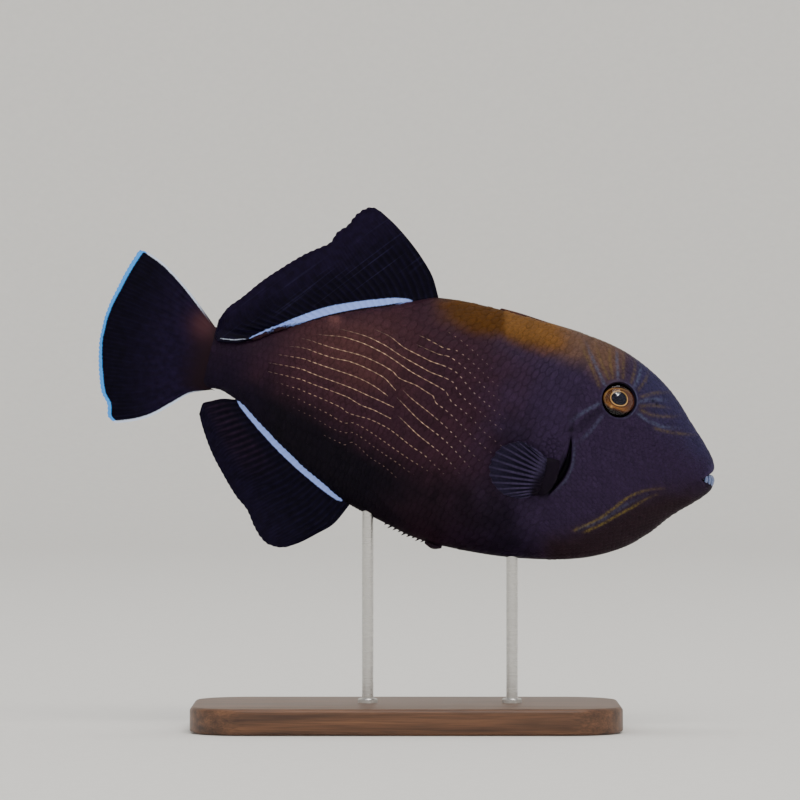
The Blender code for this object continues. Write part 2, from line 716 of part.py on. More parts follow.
def make_anal_fin(skin):
    """Anal fin, the dorsal fin's lower match."""
    first, last = ANAL_BASE

    def root(t):
        s = first + (last - first) * t
        return Vector((s, 0, belly(s) - FIN_GAP))

    margin = path(ANAL_MARGIN)
    front = path([(first, belly(first) - FIN_GAP)] + ANAL_FRONT)
    rear = path([(last, belly(last) - FIN_GAP)] + ANAL_REAR)

    def point(u, v):
        at = coons(root, margin, front, rear, u, v)
        wave = ANAL_WAVE * math.sin(2 * math.pi * (1.4 * u + 0.55))
        at.y = v**1.4 * (ANAL_LEAN * u + wave * (1 - 0.6 * u))
        return at

    grid = fin_grid(ANAL_RAYS, FIN_STEPS, point)
    new_object("anal_fin", *fin_solid(grid, ANAL_RAYS, Vector((0, 0, -1))), skin)


def make_tail_fin(skin):
    """Tail fin, its root as thick as the stalk's end and its rays forked towards the margin."""
    start = STALK_END + GAP

    def root(t):
        angle = math.pi * (0.5 - t)
        return section(start, angle)

    upper_path = path([(start, back(start))] + TAIL_UPPER)
    lower_path = path([(start, belly(start))] + TAIL_LOWER + [TAIL_MARGIN[-1]])
    margin = path(TAIL_MARGIN)

    def flat_root(t):
        at = root(t)
        return Vector((at.x, 0, at.z))

    def point(u, v):
        at = coons(flat_root, margin, upper_path, lower_path, u, v)
        across = (at.z + 30) / 60
        at.y = TAIL_SWEEP * v**1.8 + TAIL_WAVE * v * v * math.sin(2 * math.pi * across * 1.1)
        return at

    branches = 2
    columns = (TAIL_RAYS - 1) * 2 * branches + 1
    us = [n / (columns - 1) for n in range(columns)]
    steps = (0.0, 0.1, 0.22, 0.38, 0.54, 0.7, 0.85, 1.0)
    middle, thickness = [], []
    for v in steps:
        line, thick = [], []
        for u in us:
            line.append(point(u, v))
            single = ray_profile(u, TAIL_RAYS)
            forked = 0.5 + 0.5 * math.cos(2 * math.pi * u * (TAIL_RAYS - 1) * branches)
            share = min(max((v - 0.3) / 0.3, 0.0), 1.0)
            ray = (RAY_ROOT + (RAY_TIP - RAY_ROOT) * v) * (single * (1 - share) + forked * share)
            stalk = 2 * abs(root(u).y) * max(0.0, 1 - v / 0.62) ** 2.2
            thick.append(max(MEMBRANE + ray, stalk + 0.45 * ray + 0.25))
        middle.append(line)
        thickness.append(thick)
    new_object("tail_fin", *thick_sheet(middle, thickness, Vector((1, 0, 0))), skin)


def pectoral_sheet(side):
    """Grids of middle points and thicknesses of one pectoral fin, its lobe lying along the flank."""
    front, rear, tips = path(LOBE_FRONT), path(LOBE_REAR), path(PECTORAL_TIPS)
    steps = (0.0, 0.1, 0.2, LOBE_SHARE, 0.42, 0.58, 0.78, 1.0)
    columns = 2 * (PECTORAL_RAYS - 1) + 1
    middle, thickness = [], []
    for v in steps:
        points, thick = [], []
        for n in range(columns):
            u = n / (columns - 1)
            edge = min(1.0, 0.35 + 6 * u * (1 - u))
            if v <= LOBE_SHARE:
                share = v / LOBE_SHARE
                at = front(u) + (rear(u) - front(u)) * share
                wide = (0.9 + (LOBE_THICK - 0.9) * math.sin(math.pi * (0.15 + 0.62 * share))) * edge
                lift = 0.0
            else:
                share = (v - LOBE_SHARE) / (1 - LOBE_SHARE)
                at = rear(u) + (tips(u) - rear(u)) * share
                ray = RAY_ROOT + (RAY_TIP - RAY_ROOT) * share
                lobe = (LOBE_THICK - MEMBRANE) * 0.8 * max(0.0, 1 - share / 0.35) ** 2 * edge
                wide = MEMBRANE + ray * ray_profile(u, PECTORAL_RAYS) + lobe
                lift = PECTORAL_TIP_OUT * share**0.7
            wide = max(wide, MEMBRANE)
            out = abs(flank(at.x, at.z).y) + GAP + PECTORAL_CLEAR + wide / 2 + lift
            points.append(Vector((at.x, side * out, at.z)))
            thick.append(wide)
        middle.append(points)
        thickness.append(thick)
    return middle, thickness


def make_pectoral_fins(skin):
    """Paddle-shaped pectoral fins, fanned back beside the body from a fleshy lobe."""
    for side, name in ((-1, "pectoral_fin_right"), (1, "pectoral_fin_left")):
        new_object(name, *thick_sheet(*pectoral_sheet(side)), skin)


def spine_rings(start, length, size):
    """Rings of one spine lying back in the groove, blunt in front and tapering to its tip."""
    rings = []
    for t in (0.0, 0.08, 0.3, 0.6, 0.85, 1.0):
        s = start + length * t
        wide = size * (0.6 if t == 0 else (1 - t) ** 0.5 + 0.12)
        top = back(s) + SPINE_PROUD * (0.5 if t == 0 else 1 - 0.5 * t)
        low = top - (SPINE_PROUD + SPINE_SINK) * (0.7 if t == 0 else 1 - 0.7 * t)
        ring = []
        for k in range(7):
            a = math.pi * (k / 6 - 0.5)
            ring.append(Vector((s, wide * math.cos(a), (top + low) / 2 + (top - low) / 2 * math.sin(a))))
        rings.append(whole_ring(ring))
    return rings


def make_first_dorsal(skin):
    """The three locked-down spines of the first dorsal fin, one behind another in their groove."""
    spines = [new_object("first_dorsal_fin", *loft(spine_rings(*spine)), skin) for spine in SPINES]
    combine(spines[0], spines[1:], "UNION")


def make_pelvic_spine(skin):
    """The short rough knob that is all there is of the pelvic fins."""
    foot = Vector((PELVIC_AT, 0, belly(PELVIC_AT) - GAP))
    rings = []
    for t in (0.0, 0.25, 0.5, 0.75, 1.0):
        s = PELVIC_AT + PELVIC_LENGTH * t
        reach = PELVIC_RADIUS * math.sin(math.pi * (0.12 + 0.8 * t))
        top = belly(s) - GAP
        ring = [
            Vector((s, 0.8 * reach * math.cos(a), top - 0.5 * reach + 0.5 * reach * math.sin(a)))
            for a in [math.pi * (k / 6 - 0.5) for k in range(7)]
        ]
        rings.append(whole_ring(ring))
    return new_object("pelvic_spine", *loft(rings), skin)


def rounded_outline(length, depth, corner, steps):
    """Corners of a rectangle with round corners, centred on the origin."""
    points = []
    for quarter in range(4):
        sx, sy = ((1, 1), (-1, 1), (-1, -1), (1, -1))[quarter]
        centre = (sx * (length / 2 - corner), sy * (depth / 2 - corner))
        for i in range(steps + 1):
            a = math.pi / 2 * (quarter + i / steps)
            points.append((centre[0] + corner * math.cos(a), centre[1] + corner * math.sin(a)))
    return points


def make_stand(wood, steel):
    """Flat base and two rods whose tops follow the belly."""
    levels = (
        (0.0, 0.0), (BASE_HEIGHT - BASE_CHAMFER, 0.0), (BASE_HEIGHT, BASE_CHAMFER),
    )
    verts, faces, rows = [], [], []
    for z, inset in levels:
        outline = rounded_outline(BASE_LENGTH - 2 * inset, BASE_DEPTH - 2 * inset, BASE_CORNER - inset, 6)
        rows.append(range(len(verts), len(verts) + len(outline)))
        verts += [Vector((x * MM, y * MM, z * MM)) for x, y in outline]
    for low, high in zip(rows, rows[1:]):
        for i in range(len(low)):
            j = (i + 1) % len(low)
            faces.append((low[i], low[j], high[j], high[i]))
    faces += [tuple(rows[0])[::-1], tuple(rows[-1])]
    mesh = bpy.data.meshes.new("stand_base")
    mesh.from_pydata(verts, [], faces)
    finish_object("stand_base", mesh, wood)
    for name, x in RODS.items():
        make_rod(name, x, steel)


def belly_height(x, y):
    """Height in world millimetres of the belly's skin above the point x, y of the floor, y being small."""
    s = (SNOUT_X - x) / math.cos(PITCH)
    for _ in range(30):
        angle = -math.pi / 2
        for _ in range(30):
            reach = half_width(s) * max(math.cos(angle), 0.0) ** belly_power(s)
            angle += (abs(y) - reach) / half_width(s) * 0.8
            angle = min(max(angle, -math.pi / 2), 0.0)
        h = section(s, angle).z
        s = (SNOUT_X - x + h * math.sin(PITCH)) / math.cos(PITCH)
    return SNOUT_HEIGHT + s * math.sin(PITCH) + h * math.cos(PITCH)


def make_rod(name, x, steel):
    """An upright rod from the base to just under the belly."""
    sides = 16
    verts, faces = [], []
    foot = BASE_HEIGHT + GAP
    for level in range(2):
        for i in range(sides):
            a = 2 * math.pi * i / sides
            px, py = x + ROD_RADIUS * math.cos(a), ROD_RADIUS * math.sin(a)
            z = foot if level == 0 else belly_height(px, py) - GAP
            verts.append(Vector((px * MM, py * MM, z * MM)))
    verts.append(Vector((x * MM, 0, foot * MM)))
    verts.append(Vector((x * MM, 0, (belly_height(x, 0) - GAP) * MM)))
    for i in range(sides):
        j = (i + 1) % sides
        faces += [(i, j, j + sides, i + sides), (j, i, 2 * sides), (i + sides, j + sides, 2 * sides + 1)]
    mesh = bpy.data.meshes.new(name)
    mesh.from_pydata(verts, [], faces)
    finish_object(name, mesh, steel)


def main():
    for obj in list(bpy.data.objects):
        bpy.data.objects.remove(obj)
    skin = material("scaled_skin", SKIN_COLOUR, 0.5)
    fin = material("fin_membrane", FIN_COLOUR, 0.45)
    glass = material("eye", (0.25, 0.11, 0.04, 1.0), 0.08)
    steel = material("polished_steel", STEEL_COLOUR, 0.25, 1.0)
    wood = material("dark_wood", WOOD_COLOUR, 0.45)
    make_head(skin)
    make_eyes(glass)
    make_trunk(skin)
    make_stalk(skin)
    make_dorsal_fin(fin)
    make_anal_fin(fin)
    make_tail_fin(fin)
    make_pectoral_fins(fin)
    make_first_dorsal(skin)
    make_pelvic_spine(skin)
    make_stand(wood, steel)


main()
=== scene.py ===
"""Life-size display model of a blackfin triggerfish, head down as it swims, on a wooden stand with two rods.

Lengths are millimetres in the fish's own frame until place() turns them into world metres: s runs back
from the snout along the body, y is across it with the fish's right side at -y, and h rises towards the
back. A spot on the skin is given by its station w, which is s behind the snout, and its share t of the
way round one side, from 0 at the belly to 1 at the back.
"""

import json
import math

import bpy
import numpy as np
from bpy.props import FloatProperty, FloatVectorProperty, PointerProperty
from bpy.types import Operator, Panel, PropertyGroup
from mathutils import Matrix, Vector

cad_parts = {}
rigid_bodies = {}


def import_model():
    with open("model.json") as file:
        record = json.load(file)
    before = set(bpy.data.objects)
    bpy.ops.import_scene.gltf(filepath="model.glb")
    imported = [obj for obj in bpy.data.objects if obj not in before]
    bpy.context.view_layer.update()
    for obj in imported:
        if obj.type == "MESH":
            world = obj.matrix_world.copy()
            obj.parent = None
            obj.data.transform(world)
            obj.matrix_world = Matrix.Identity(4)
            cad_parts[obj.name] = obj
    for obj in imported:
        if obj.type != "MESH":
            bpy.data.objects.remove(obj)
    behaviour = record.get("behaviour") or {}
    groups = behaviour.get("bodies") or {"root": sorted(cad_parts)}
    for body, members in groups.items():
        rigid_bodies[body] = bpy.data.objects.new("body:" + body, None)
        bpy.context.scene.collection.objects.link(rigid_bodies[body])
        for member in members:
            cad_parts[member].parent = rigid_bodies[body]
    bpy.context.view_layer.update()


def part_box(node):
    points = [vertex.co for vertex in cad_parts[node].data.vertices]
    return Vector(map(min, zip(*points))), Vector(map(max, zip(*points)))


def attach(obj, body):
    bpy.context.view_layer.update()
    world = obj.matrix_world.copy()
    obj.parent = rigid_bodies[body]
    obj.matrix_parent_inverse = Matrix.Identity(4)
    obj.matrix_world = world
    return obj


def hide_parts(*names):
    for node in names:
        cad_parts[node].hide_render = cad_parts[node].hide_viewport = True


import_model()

bl_info = {
    "name": "Triggerfish display model",
    "version": (1, 0, 0),
    "blender": (4, 5, 0),
    "location": "3D View > Sidebar > Triggerfish",
    "description": "Builds the skin, scales, fins, eyes and stand of a triggerfish model round its solids",
    "category": "Object",
}

# Pose and size, as in the solids
MM = 0.001
PITCH = math.radians(13)
SNOUT_X, SNOUT_HEIGHT = 107.8, 89.1

# Outlines and breadth of the body, as in the solids
BACK = [
    (0, 1.6), (3.7, 6.7), (6.8, 10.2), (12.6, 16.6), (17.6, 21.7), (22.5, 25.9), (29.3, 30.2),
    (35.9, 33.3), (41.8, 35.3), (48.4, 36.7), (56.4, 37.8), (72, 38.8), (84, 39.4), (96, 39.5),
    (108, 38.6), (117, 35.2), (125.4, 31.4), (134.3, 28), (142.5, 24.4), (151.6, 19.6),
    (160.1, 14.8), (168, 11.4), (175, 10.2), (182, 10.9),
]
BELLY = [
    (0, -4), (2.1, -8.4), (4.3, -10.5), (7, -12.6), (10, -15.8), (14.2, -21.4), (18.5, -26.4),
    (24.6, -31.9), (31.3, -36.1), (39.1, -39.5), (47.2, -41.8), (55.5, -43.5), (63.8, -44.8),
    (72.2, -45.6), (80.7, -46), (89.3, -46.1), (98.1, -45.3), (107.3, -43.1), (116.4, -40.9),
    (124.4, -38.5), (130.2, -35.7), (141.9, -29.6), (156.7, -20.4), (169.1, -12.3), (176, -10.2),
    (182, -10.9),
]
HALF_WIDTH = [
    (0, 3.6), (6, 5.6), (13, 8.3), (22, 10.9), (32, 13.4), (42, 15.4), (53, 17),
    (66, 17.8), (82, 17.2), (100, 15), (120, 11.9), (140, 8.7), (160, 6),
    (172, 4.8), (182, 4.2),
]
WIDEST_AT = [(0, 0), (20, 0.10), (45, 0.14), (70, 0.08), (110, 0.04), (182, 0)]
BACK_POWER = [(0, 1), (18, 0.85), (42, 0.82), (64, 1), (100, 1.2), (182, 1.15)]
BELLY_POWER = [(0, 1), (20, 1), (50, 1.15), (85, 1.3), (120, 1.25), (182, 1.15)]
FACE_END = 13
MOUTH_HALF_WIDTH = 4.4
MOUTH_TOP, MOUTH_CORNER, MOUTH_FLOOR = (1.1, 0.1), (4.4, -3.3), (0.1, -3.2)
MOUTH_DEPTH = 3.6
LIP_FORWARD = (3.5, 1.2, 3.1)
LIP_OUTWARD = (3.2, 1.2, 3.2)
FACE_PULL = 7
HEAD_EDGE = [
    (-46, 57.5), (-32, 57), (-21, 55.2), (-13.2, 51.2), (-8, 50.2), (-2.5, 51),
    (2, 52), (20, 53.4), (40, 53.6),
]
SLIT_TOP, SLIT_FOOT = 1.5, -20.5
STALK_END = 181.7

# The skin: how far it lies inside the solids, under the scales, and its mesh
SKIN_DEPTH = 0.16
SIDE_STEPS = 150
LIP_RINGS, HEAD_RINGS, TRUNK_RINGS = 36, 76, 140
PLANAR_TO = 34  # from here back the rings lean over until they lie along the gill slit
TRUNK_PLANAR_FROM = 74
# The gill slit in section, as (back from the edge of the gill cover, depth)
SLIT_SECTION = [
    (0, 0), (0.14, 0.22), (0.1, 0.8), (0.16, 1.6), (0.7, 2.3), (1.5, 2.5), (2.2, 1.9), (2.55, 0.95),
    (2.75, 0.25), (3.1, 0),
]

# Rows of scales on the trunk: the height of one row that the photo shows well, the rows' spacing, the
# length of a scale, and how far the rows slope down towards the head
ROW_HEIGHT = [
    (52, -12.5), (62, -8), (70, -4.4), (82, 1.2), (96, 9.4), (106, 13), (116, 15.8),
    (123, 17.9), (131, 19.3), (140, 19.8), (152, 20), (182, 20),
]
ROW_GAP = [
    (52, 4.1), (90, 4.15), (103, 4.3), (116, 3.9), (130, 3.8), (150, 3.5), (165, 3.1),
    (182, 2.8),
]
SCALE_LENGTH = [(52, 2.5), (75, 2.7), (92, 2.55), (110, 2.25), (130, 2.12), (160, 2), (182, 1.8)]
ROW_SLOPE = [(52, 0.42), (85, 0.52), (100, 0.42), (116, 0.28), (128, 0.12), (145, 0.03), (182, 0)]
# The same for the head, whose scales stand in upright columns that lean back under the cheek
HEAD_ROW_GAP = [(0, 1), (13, 1.15), (25, 1.55), (40, 1.95), (60, 2.3)]
HEAD_SCALE_LENGTH = [(0, 1), (12, 1.2), (22, 1.55), (40, 1.8), (60, 2.1)]
COLUMN_LEAN = 0.75
# Half the outline of a scale, as shares of its cell: a six-sided plate taller than it is long
PLATE_CORNER = 0.17
PLATE_RINGS = ((0.95, -0.3), (0.99, -0.09), (0.88, -0.025), (0.55, 0), (0, 0.01))

# Courses of the tan keels, each following one row of scales: its number and its (s, rows below the first)
KEELS = (
    (-4, [(80, -3.9), (104, -3.75)]),
    (-3, [(76, -3), (92, -2.9), (97, -2.8), (103, -2.3), (113, -2.42)]),
    (-2, [(75, -2), (91, -2), (99, -1.95), (104, -1.6), (109, -1.52), (121, -1.75)]),
    (-1, [(73, -1), (84.6, -0.97), (89, -0.86), (96.5, -1.15), (100, -1.03), (106.8, -0.73),
          (115, -0.75), (122, -1.03), (136, -1.05)]),
    (0, [(72, 0), (84, 0.02), (91, 0.22), (94, 0.12), (96.2, -0.25), (106.5, 0.1), (116, 0.07),
         (122, -0.03), (130, -0.1), (148, 0.05)]),
    (1, [(71, 1.2), (82.5, 1.22), (87, 1.07), (95, 1.26), (98.6, 0.78), (110.7, 0.9), (118, 0.75),
         (136, 0.62), (146.5, 1.1), (155, 1.2)]),
    (2, [(72, 2.3), (90, 2.27), (97.6, 2.14), (100.4, 2.1), (102.4, 1.7), (107.6, 1.7), (115, 1.97),
         (118, 1.75), (128.4, 1.78), (140, 1.96), (150.6, 1.99), (160, 2.15)]),
    (3, [(78, 3.6), (93, 3.44), (98.5, 3.24), (103.4, 3.04), (109.5, 2.92), (113.6, 2.68)]),
    (3, [(115.2, 3.12), (120.7, 2.7), (132.7, 2.69), (139.2, 2.89), (150.2, 2.93), (157.2, 3.3), (164, 3.55)]),
    (4, [(81, 4.75), (95.7, 4.38), (106.7, 4.03), (115, 3.6)]),
    (4, [(117.4, 3.98), (126.5, 3.83), (138.3, 3.89), (149, 3.98), (161.1, 4.49), (167, 4.65)]),
    (5, [(85, 5.9), (94.5, 5.57), (107.5, 5.11), (113.2, 4.96)]),
    (5, [(114.6, 4.58), (125.5, 4.93), (137.4, 4.97), (149.2, 5.03), (163.5, 5.68), (169, 5.85)]),
    (6, [(114.6, 5.62), (120.8, 5.83), (126.3, 6.02), (131.7, 5.87), (144.6, 5.95), (151.4, 6.09),
         (162.1, 6.55), (169, 6.75)]),
    (7, [(89, 7.1), (95.6, 6.77), (102.6, 6.37), (114.9, 6.54), (121.4, 6.78), (129.8, 7.2), (132.6, 6.99),
         (141.6, 6.91), (156.6, 7.17), (166, 7.45)]),
    (8, [(94, 7.6), (103, 7.4), (115.6, 7.8), (126.3, 7.79), (130.6, 8.23), (136.8, 8), (145.2, 7.91),
         (159.1, 8.14), (166, 8.3)]),
    (9, [(100, 8.3), (106.3, 8.4), (116.5, 8.82), (126, 8.65), (129.3, 9.03), (132.9, 9.15),
         (142.3, 8.89), (152.1, 8.96), (161, 9.1)]),
    (10, [(104, 9.55), (110.9, 9.67), (118.5, 9.88), (125.6, 9.5), (128.7, 10.1), (150, 9.95)]),
)
KEEL_WIDTH, KEEL_HEIGHT = 0.31, 0.1

# Scutes behind the gill slit, and the nostrils
SCUTES_AT = (57.6, -3.4)
SCUTE_SPACING, SCUTES_ROUND = 1.9, 7
NOSTRILS = ((27.2, 20), (25.4, 19))

# Eyes
EYE_AT = (38.85, 17.6)
EYE_RADIUS, EYE_DEPTH, EYE_BULGE = 6.6, 5, 2
RIM_RADIUS = 6.3
IRIS_DEPTH, IRIS_RADIUS = 4.3, 6.3
PUPIL_ABOVE, PUPIL_BEHIND = 0.4, 0.35

# Markings in side view, as (s, h)
BLUE_LINES = (
    [(44.4, 21), (48.1, 25.9), (51.3, 30.2), (54.6, 35.2)],
    [(40.6, 24.4), (42.2, 30), (43.6, 36.5)],
    [(34.4, 23.4), (33.6, 28.4), (33.9, 32)],
    [(31.7, 18.6), (27, 20.6), (22, 21.4)],
    [(31.6, 14.7), (27.2, 12.9), (21.2, 12), (15.7, 12.9)],
    [(44.9, 15.2), (50, 10.7), (53.7, 6.3)],
)
FAINT_BLUE = (
    [(43, 11.4), (46.7, 4), (50, -0.6)],
    [(43.1, -30.1), (35.4, -24.7), (28.1, -17.3), (21.8, -12.2)],
)
BEHIND_EYE = [(44.4, 13.6), (48.4, 7.4), (52.4, 1.8)]
GOLD_LINES = (
    [(46.2, 20.2), (49.8, 25.4), (53.6, 30.6), (56.6, 34.8)],
    [(42.9, 22.9), (46.4, 27.2), (49.6, 32.2), (51.6, 36.2)],
    [(42.4, 24.2), (44.8, 30.2), (46.4, 36.8)],
    [(38.9, 24.8), (40, 30.2), (41, 35.6)],
    [(36, 24.2), (35.6, 28.6), (36.4, 33)],
    [(33, 22.4), (31.4, 26), (30.6, 30)],
    [(31.9, 20.2), (27, 22.8), (22.3, 24.2)],
    [(31.4, 17.2), (26, 18.6), (20.6, 18.9)],
    [(31, 16), (26, 15.2), (20, 16), (16.6, 17.2)],
    [(24.6, 10.9), (20, 10.7), (15, 11.1), (9.6, 11.9)],
)
CHEEK_GOLD = (
    [(44.4, -30.7), (35.6, -23.7), (30, -17), (26.2, -13.2), (21.1, -10.3), (16.4, -8.8)],
    [(40.4, -30.2), (34.6, -25.7), (29.1, -20.7), (25.8, -17.8), (21.4, -13.6), (18.3, -11.4)],
)
# Where the lower trunk turns black, the bronze patch of the nape ends, and the chin's brown begins
DARK_BELOW = [
    (30, -60), (48, -44), (60, -35), (70, -24), (84, -21), (100, -22), (120, -18),
    (145, -8.5), (165, -3.5), (182, -1),
]
BRONZE_ABOVE = [(50, 31.5), (60, 31.5), (68, 30), (80, 31), (104, 31.5)]
CHIN_BELOW = [(0, -6), (12, -9), (22, -14), (30, -21), (40, -29), (52, -36), (60, -42)]
RED_SPOT = (141.5, 22.6)

# Fins in side view, as in the solids
DORSAL_RAYS, ANAL_RAYS, TAIL_RAYS, PECTORAL_RAYS = 31, 28, 12, 14
DORSAL_BASE = (108, 169.5, 2)  # its last figure is how far the rear end lies below the back
DORSAL_FRONT = [(111.5, 45), (116, 50), (122, 55.3), (129, 60.3), (134.5, 63.4)]
DORSAL_MARGIN = [
    (134.5, 63.4), (137.4, 64.2), (139.8, 63.3), (142.8, 60.2), (144.6, 56.3), (147.9, 52.6),
    (149.2, 49), (152.3, 46.4), (157.2, 42.7), (164.3, 35.8), (169.4, 30.4), (174.9, 23.2),
    (178.9, 18.4), (180.9, 13.6),
]
DORSAL_REAR = [(172.4, 7.6), (176, 6.7), (179.4, 6.3), (181, 9), (180.9, 13.6)]
ANAL_BASE = (122, 169.3, 0)
ANAL_FRONT = [(125.9, -47), (131.1, -51.9), (136, -56), (140.4, -58.7)]
ANAL_MARGIN = [
    (140.4, -58.7), (143.5, -59.4), (146.5, -59.2), (149.5, -57.6), (152.7, -54.4), (156.6, -49.2),
    (161.4, -45.4), (167, -39.6), (173, -32.6), (178.1, -24.7), (180.4, -20.2),
]
ANAL_REAR = [(173.2, -12.9), (177.2, -14.6), (180.1, -16.4), (180.4, -20.2)]
TAIL_UPPER = [(187.8, 16.2), (193.4, 20.9), (200, 25.7), (205.4, 28.9), (210.6, 31)]
TAIL_MARGIN = [
    (210.6, 31), (213.6, 31.2), (214.9, 28.6), (216.9, 22.6), (218.7, 15.4), (219.9, 10),
    (220.5, 4.2), (220.5, -1.6), (219.6, -7.8), (218.2, -13.4), (215.8, -20.1), (212.7, -24.2),
    (211.6, -28), (208.6, -29.9),
]
TAIL_LOWER = [(184.8, -13.6), (190.1, -18.7), (195.8, -23.9), (199.8, -26.5), (204.6, -28.6)]
DORSAL_LEAN, DORSAL_WAVE = -5.2, 1.6
HANG_FROM, HANG_CLEAR = 2, 0.85
ANAL_LEAN, ANAL_WAVE = 1.6, 1.7
TAIL_SWEEP, TAIL_WAVE = 2.4, 0.9
LOBE_FRONT = [(54.4, -7.4), (53.9, -12), (55, -17), (57.4, -20.8)]
LOBE_REAR = [(59.2, -7.6), (58.9, -12), (58.9, -16.5), (60, -21.2)]
LOBE_THICK, LOBE_SHARE = 2.3, 0.3
PECTORAL_TIPS = [
    (64.6, -5.2), (68.7, -4.1), (73.7, -6.1), (76.6, -9.3), (77.9, -14.2), (77, -18.1), (74.1, -21.4),
    (69.8, -23.5), (65, -23.6),
]
PECTORAL_TIP_OUT = 3.6
# Pale stripe on each fin's base: its two edges, measured out from the body's outline
DORSAL_STRIPE = (
    [(116.7, -0.2), (124.9, 0.3), (130.8, 0.4), (140.3, 0.3), (149.5, 0.25), (156.2, 0.45), (160, 0.55),
     (163, 0.1), (166.1, -0.6), (169.4, -1.9)],
    [(115.5, -0.5), (116.8, 0.2), (120, 1.6), (125.5, 2.85), (135.1, 3.2), (146.8, 3.55), (152.4, 3.1), (157.9, 2.55),
     (163.3, 1.15), (167.1, -0.2), (169.4, -1.75)],
)
ANAL_STRIPE = (
    [(122, -0.4), (169.5, -0.4)],
    [(124.3, -0.5), (125.3, 0.6), (128, 1.35), (132, 1.75), (144, 2), (151, 2.2), (157, 1.95), (163, 1.8),
     (166.8, 1.2), (169, -0.2)],
)
# The fine pale line near the lower edge of the dorsal fin's rear lobe
LOBE_LINE = [(170.3, 9), (174.5, 7.8), (178.9, 7.3)]

GROOVE = (54.5, 86)
GROOVE_DEPTH = 0.35
SPINES = ((56.6, 28, 1), (67, 13, 0.75), (77.5, 8.5, 0.6))
SPINE_PROUD, SPINE_SINK = 0.06, 1.5
SPINE_TIP_PROUD, SPINE_TIP_FROM = 0.4, (66, 80)
PELVIC_AT, PELVIC_LENGTH, PELVIC_RADIUS = 87.2, 6.2, 1.25
BELLY_POINTS, BELLY_POINTS_FROM, BELLY_POINTS_TO = 9, 93.6, 107.5

# Stand, in world millimetres
BASE_LENGTH, BASE_DEPTH, BASE_HEIGHT, BASE_CORNER, BASE_ROUND = 150, 84, 9, 20, 1.6
ROD_RADIUS = 2
RODS = {"stand_rod_front": 37, "stand_rod_rear": -13.5}

# Camera: level, square to the fish's side, with 280 mm across the picture at the fish
CAMERA_AIM = (-0.0022, 0, 0.115)
CAMERA_DISTANCE = 1.945
CAMERA_LENS = 250

UNWRAP = 0.0046  # share of the unwrapped skin's map that one millimetre of skin takes


def linear(code):
    """The linear colour of an sRGB hex code."""
    parts = [int(code[i:i + 2], 16) / 255 for i in (1, 3, 5)]
    return [c / 12.92 if c <= 0.04045 else ((c + 0.055) / 1.055) ** 2.4 for c in parts] + [1.0]


def rise(x, low, high):
    """A smooth step from 0 at low to 1 at high."""
    share = np.clip((x - low) / (high - low), 0, 1)
    return share * share * (3 - 2 * share)


def curve_through(points):
    """A smooth function through (x, value) points, with slopes limited so that it doesn't overshoot."""
    xs, ys = np.array(points, float).T
    steps = np.diff(ys) / np.diff(xs)
    slopes = np.concatenate([steps[:1], np.zeros(len(xs) - 2), steps[-1:]])
    same = steps[:-1] * steps[1:] > 0
    slopes[1:-1][same] = (2 * steps[:-1] * steps[1:])[same] / (steps[:-1] + steps[1:])[same]

    def value(x):
        x = np.clip(x, xs[0], xs[-1])
        i = np.clip(np.searchsorted(xs, x) - 1, 0, len(xs) - 2)
        width = xs[i + 1] - xs[i]
        t = (x - xs[i]) / width
        start = (1 + 2 * t) * (1 - t) ** 2 * ys[i] + t * (1 - t) ** 2 * width * slopes[i]
        return start + t * t * (3 - 2 * t) * ys[i + 1] + t * t * (t - 1) * width * slopes[i + 1]

    return value


back, belly = curve_through(BACK), curve_through(BELLY)
half_width, widest_at = curve_through(HALF_WIDTH), curve_through(WIDEST_AT)
back_power, belly_power = curve_through(BACK_POWER), curve_through(BELLY_POWER)
head_edge = curve_through(HEAD_EDGE)
dark_below, bronze_above, chin_below = (curve_through(c) for c in (DARK_BELOW, BRONZE_ABOVE, CHIN_BELOW))


def join(*parts):
    """Stacks numbers or arrays as the parts of points, one point to each row."""
    return np.stack(np.broadcast_arrays(*parts), -1).astype(float)


def unit(v):
    return v / np.maximum(np.linalg.norm(v, axis=-1, keepdims=True), 1e-12)


def place(points):
    """Points of the fish's frame, in millimetres, as world points in metres."""
    s, y, h = np.moveaxis(np.asarray(points, float), -1, 0)
    x = SNOUT_X - s * math.cos(PITCH) + h * math.sin(PITCH)
    z = SNOUT_HEIGHT + s * math.sin(PITCH) + h * math.cos(PITCH)
    return join(x, y, z) * MM


def section(s, angle):
    """The body's section at s, with angle from -90 degrees at the belly to 90 at the back."""
    top, low = back(s), belly(s)
    lift = np.sin(angle) + widest_at(s) * np.cos(angle) ** 2
    power = np.where(angle > 0, back_power(s), belly_power(s))
    across = half_width(s) * np.maximum(np.cos(angle), 0) ** power
    return join(s, across, (top + low) / 2 + (top - low) / 2 * lift)


def by_angle(values, angle):
    """Blends the values for the back, the side and the belly."""
    top, side, low = values
    return side + (np.where(angle > 0, top, low) - side) * np.abs(np.sin(angle))


def mouth_edge(angle, inwards=0.0):
    """The mouth's rim, or the rim of its inside when inwards is 1."""
    amount = np.abs(np.sin(angle))
    end_s = np.where(angle > 0, MOUTH_TOP[0], MOUTH_FLOOR[0])
    end_h = np.where(angle > 0, MOUTH_TOP[1], MOUTH_FLOOR[1])
    s = MOUTH_CORNER[0] + (end_s - MOUTH_CORNER[0]) * amount
    h = MOUTH_CORNER[1] + (end_h - MOUTH_CORNER[1]) * amount
    s = s + MOUTH_DEPTH * inwards * (0.5 + 0.5 * amount)
    h = h + ((MOUTH_TOP[1] + MOUTH_FLOOR[1]) / 2 - h) * 0.3 * inwards
    return join(s, MOUTH_HALF_WIDTH * np.cos(angle) * (1 - 0.3 * inwards), h)


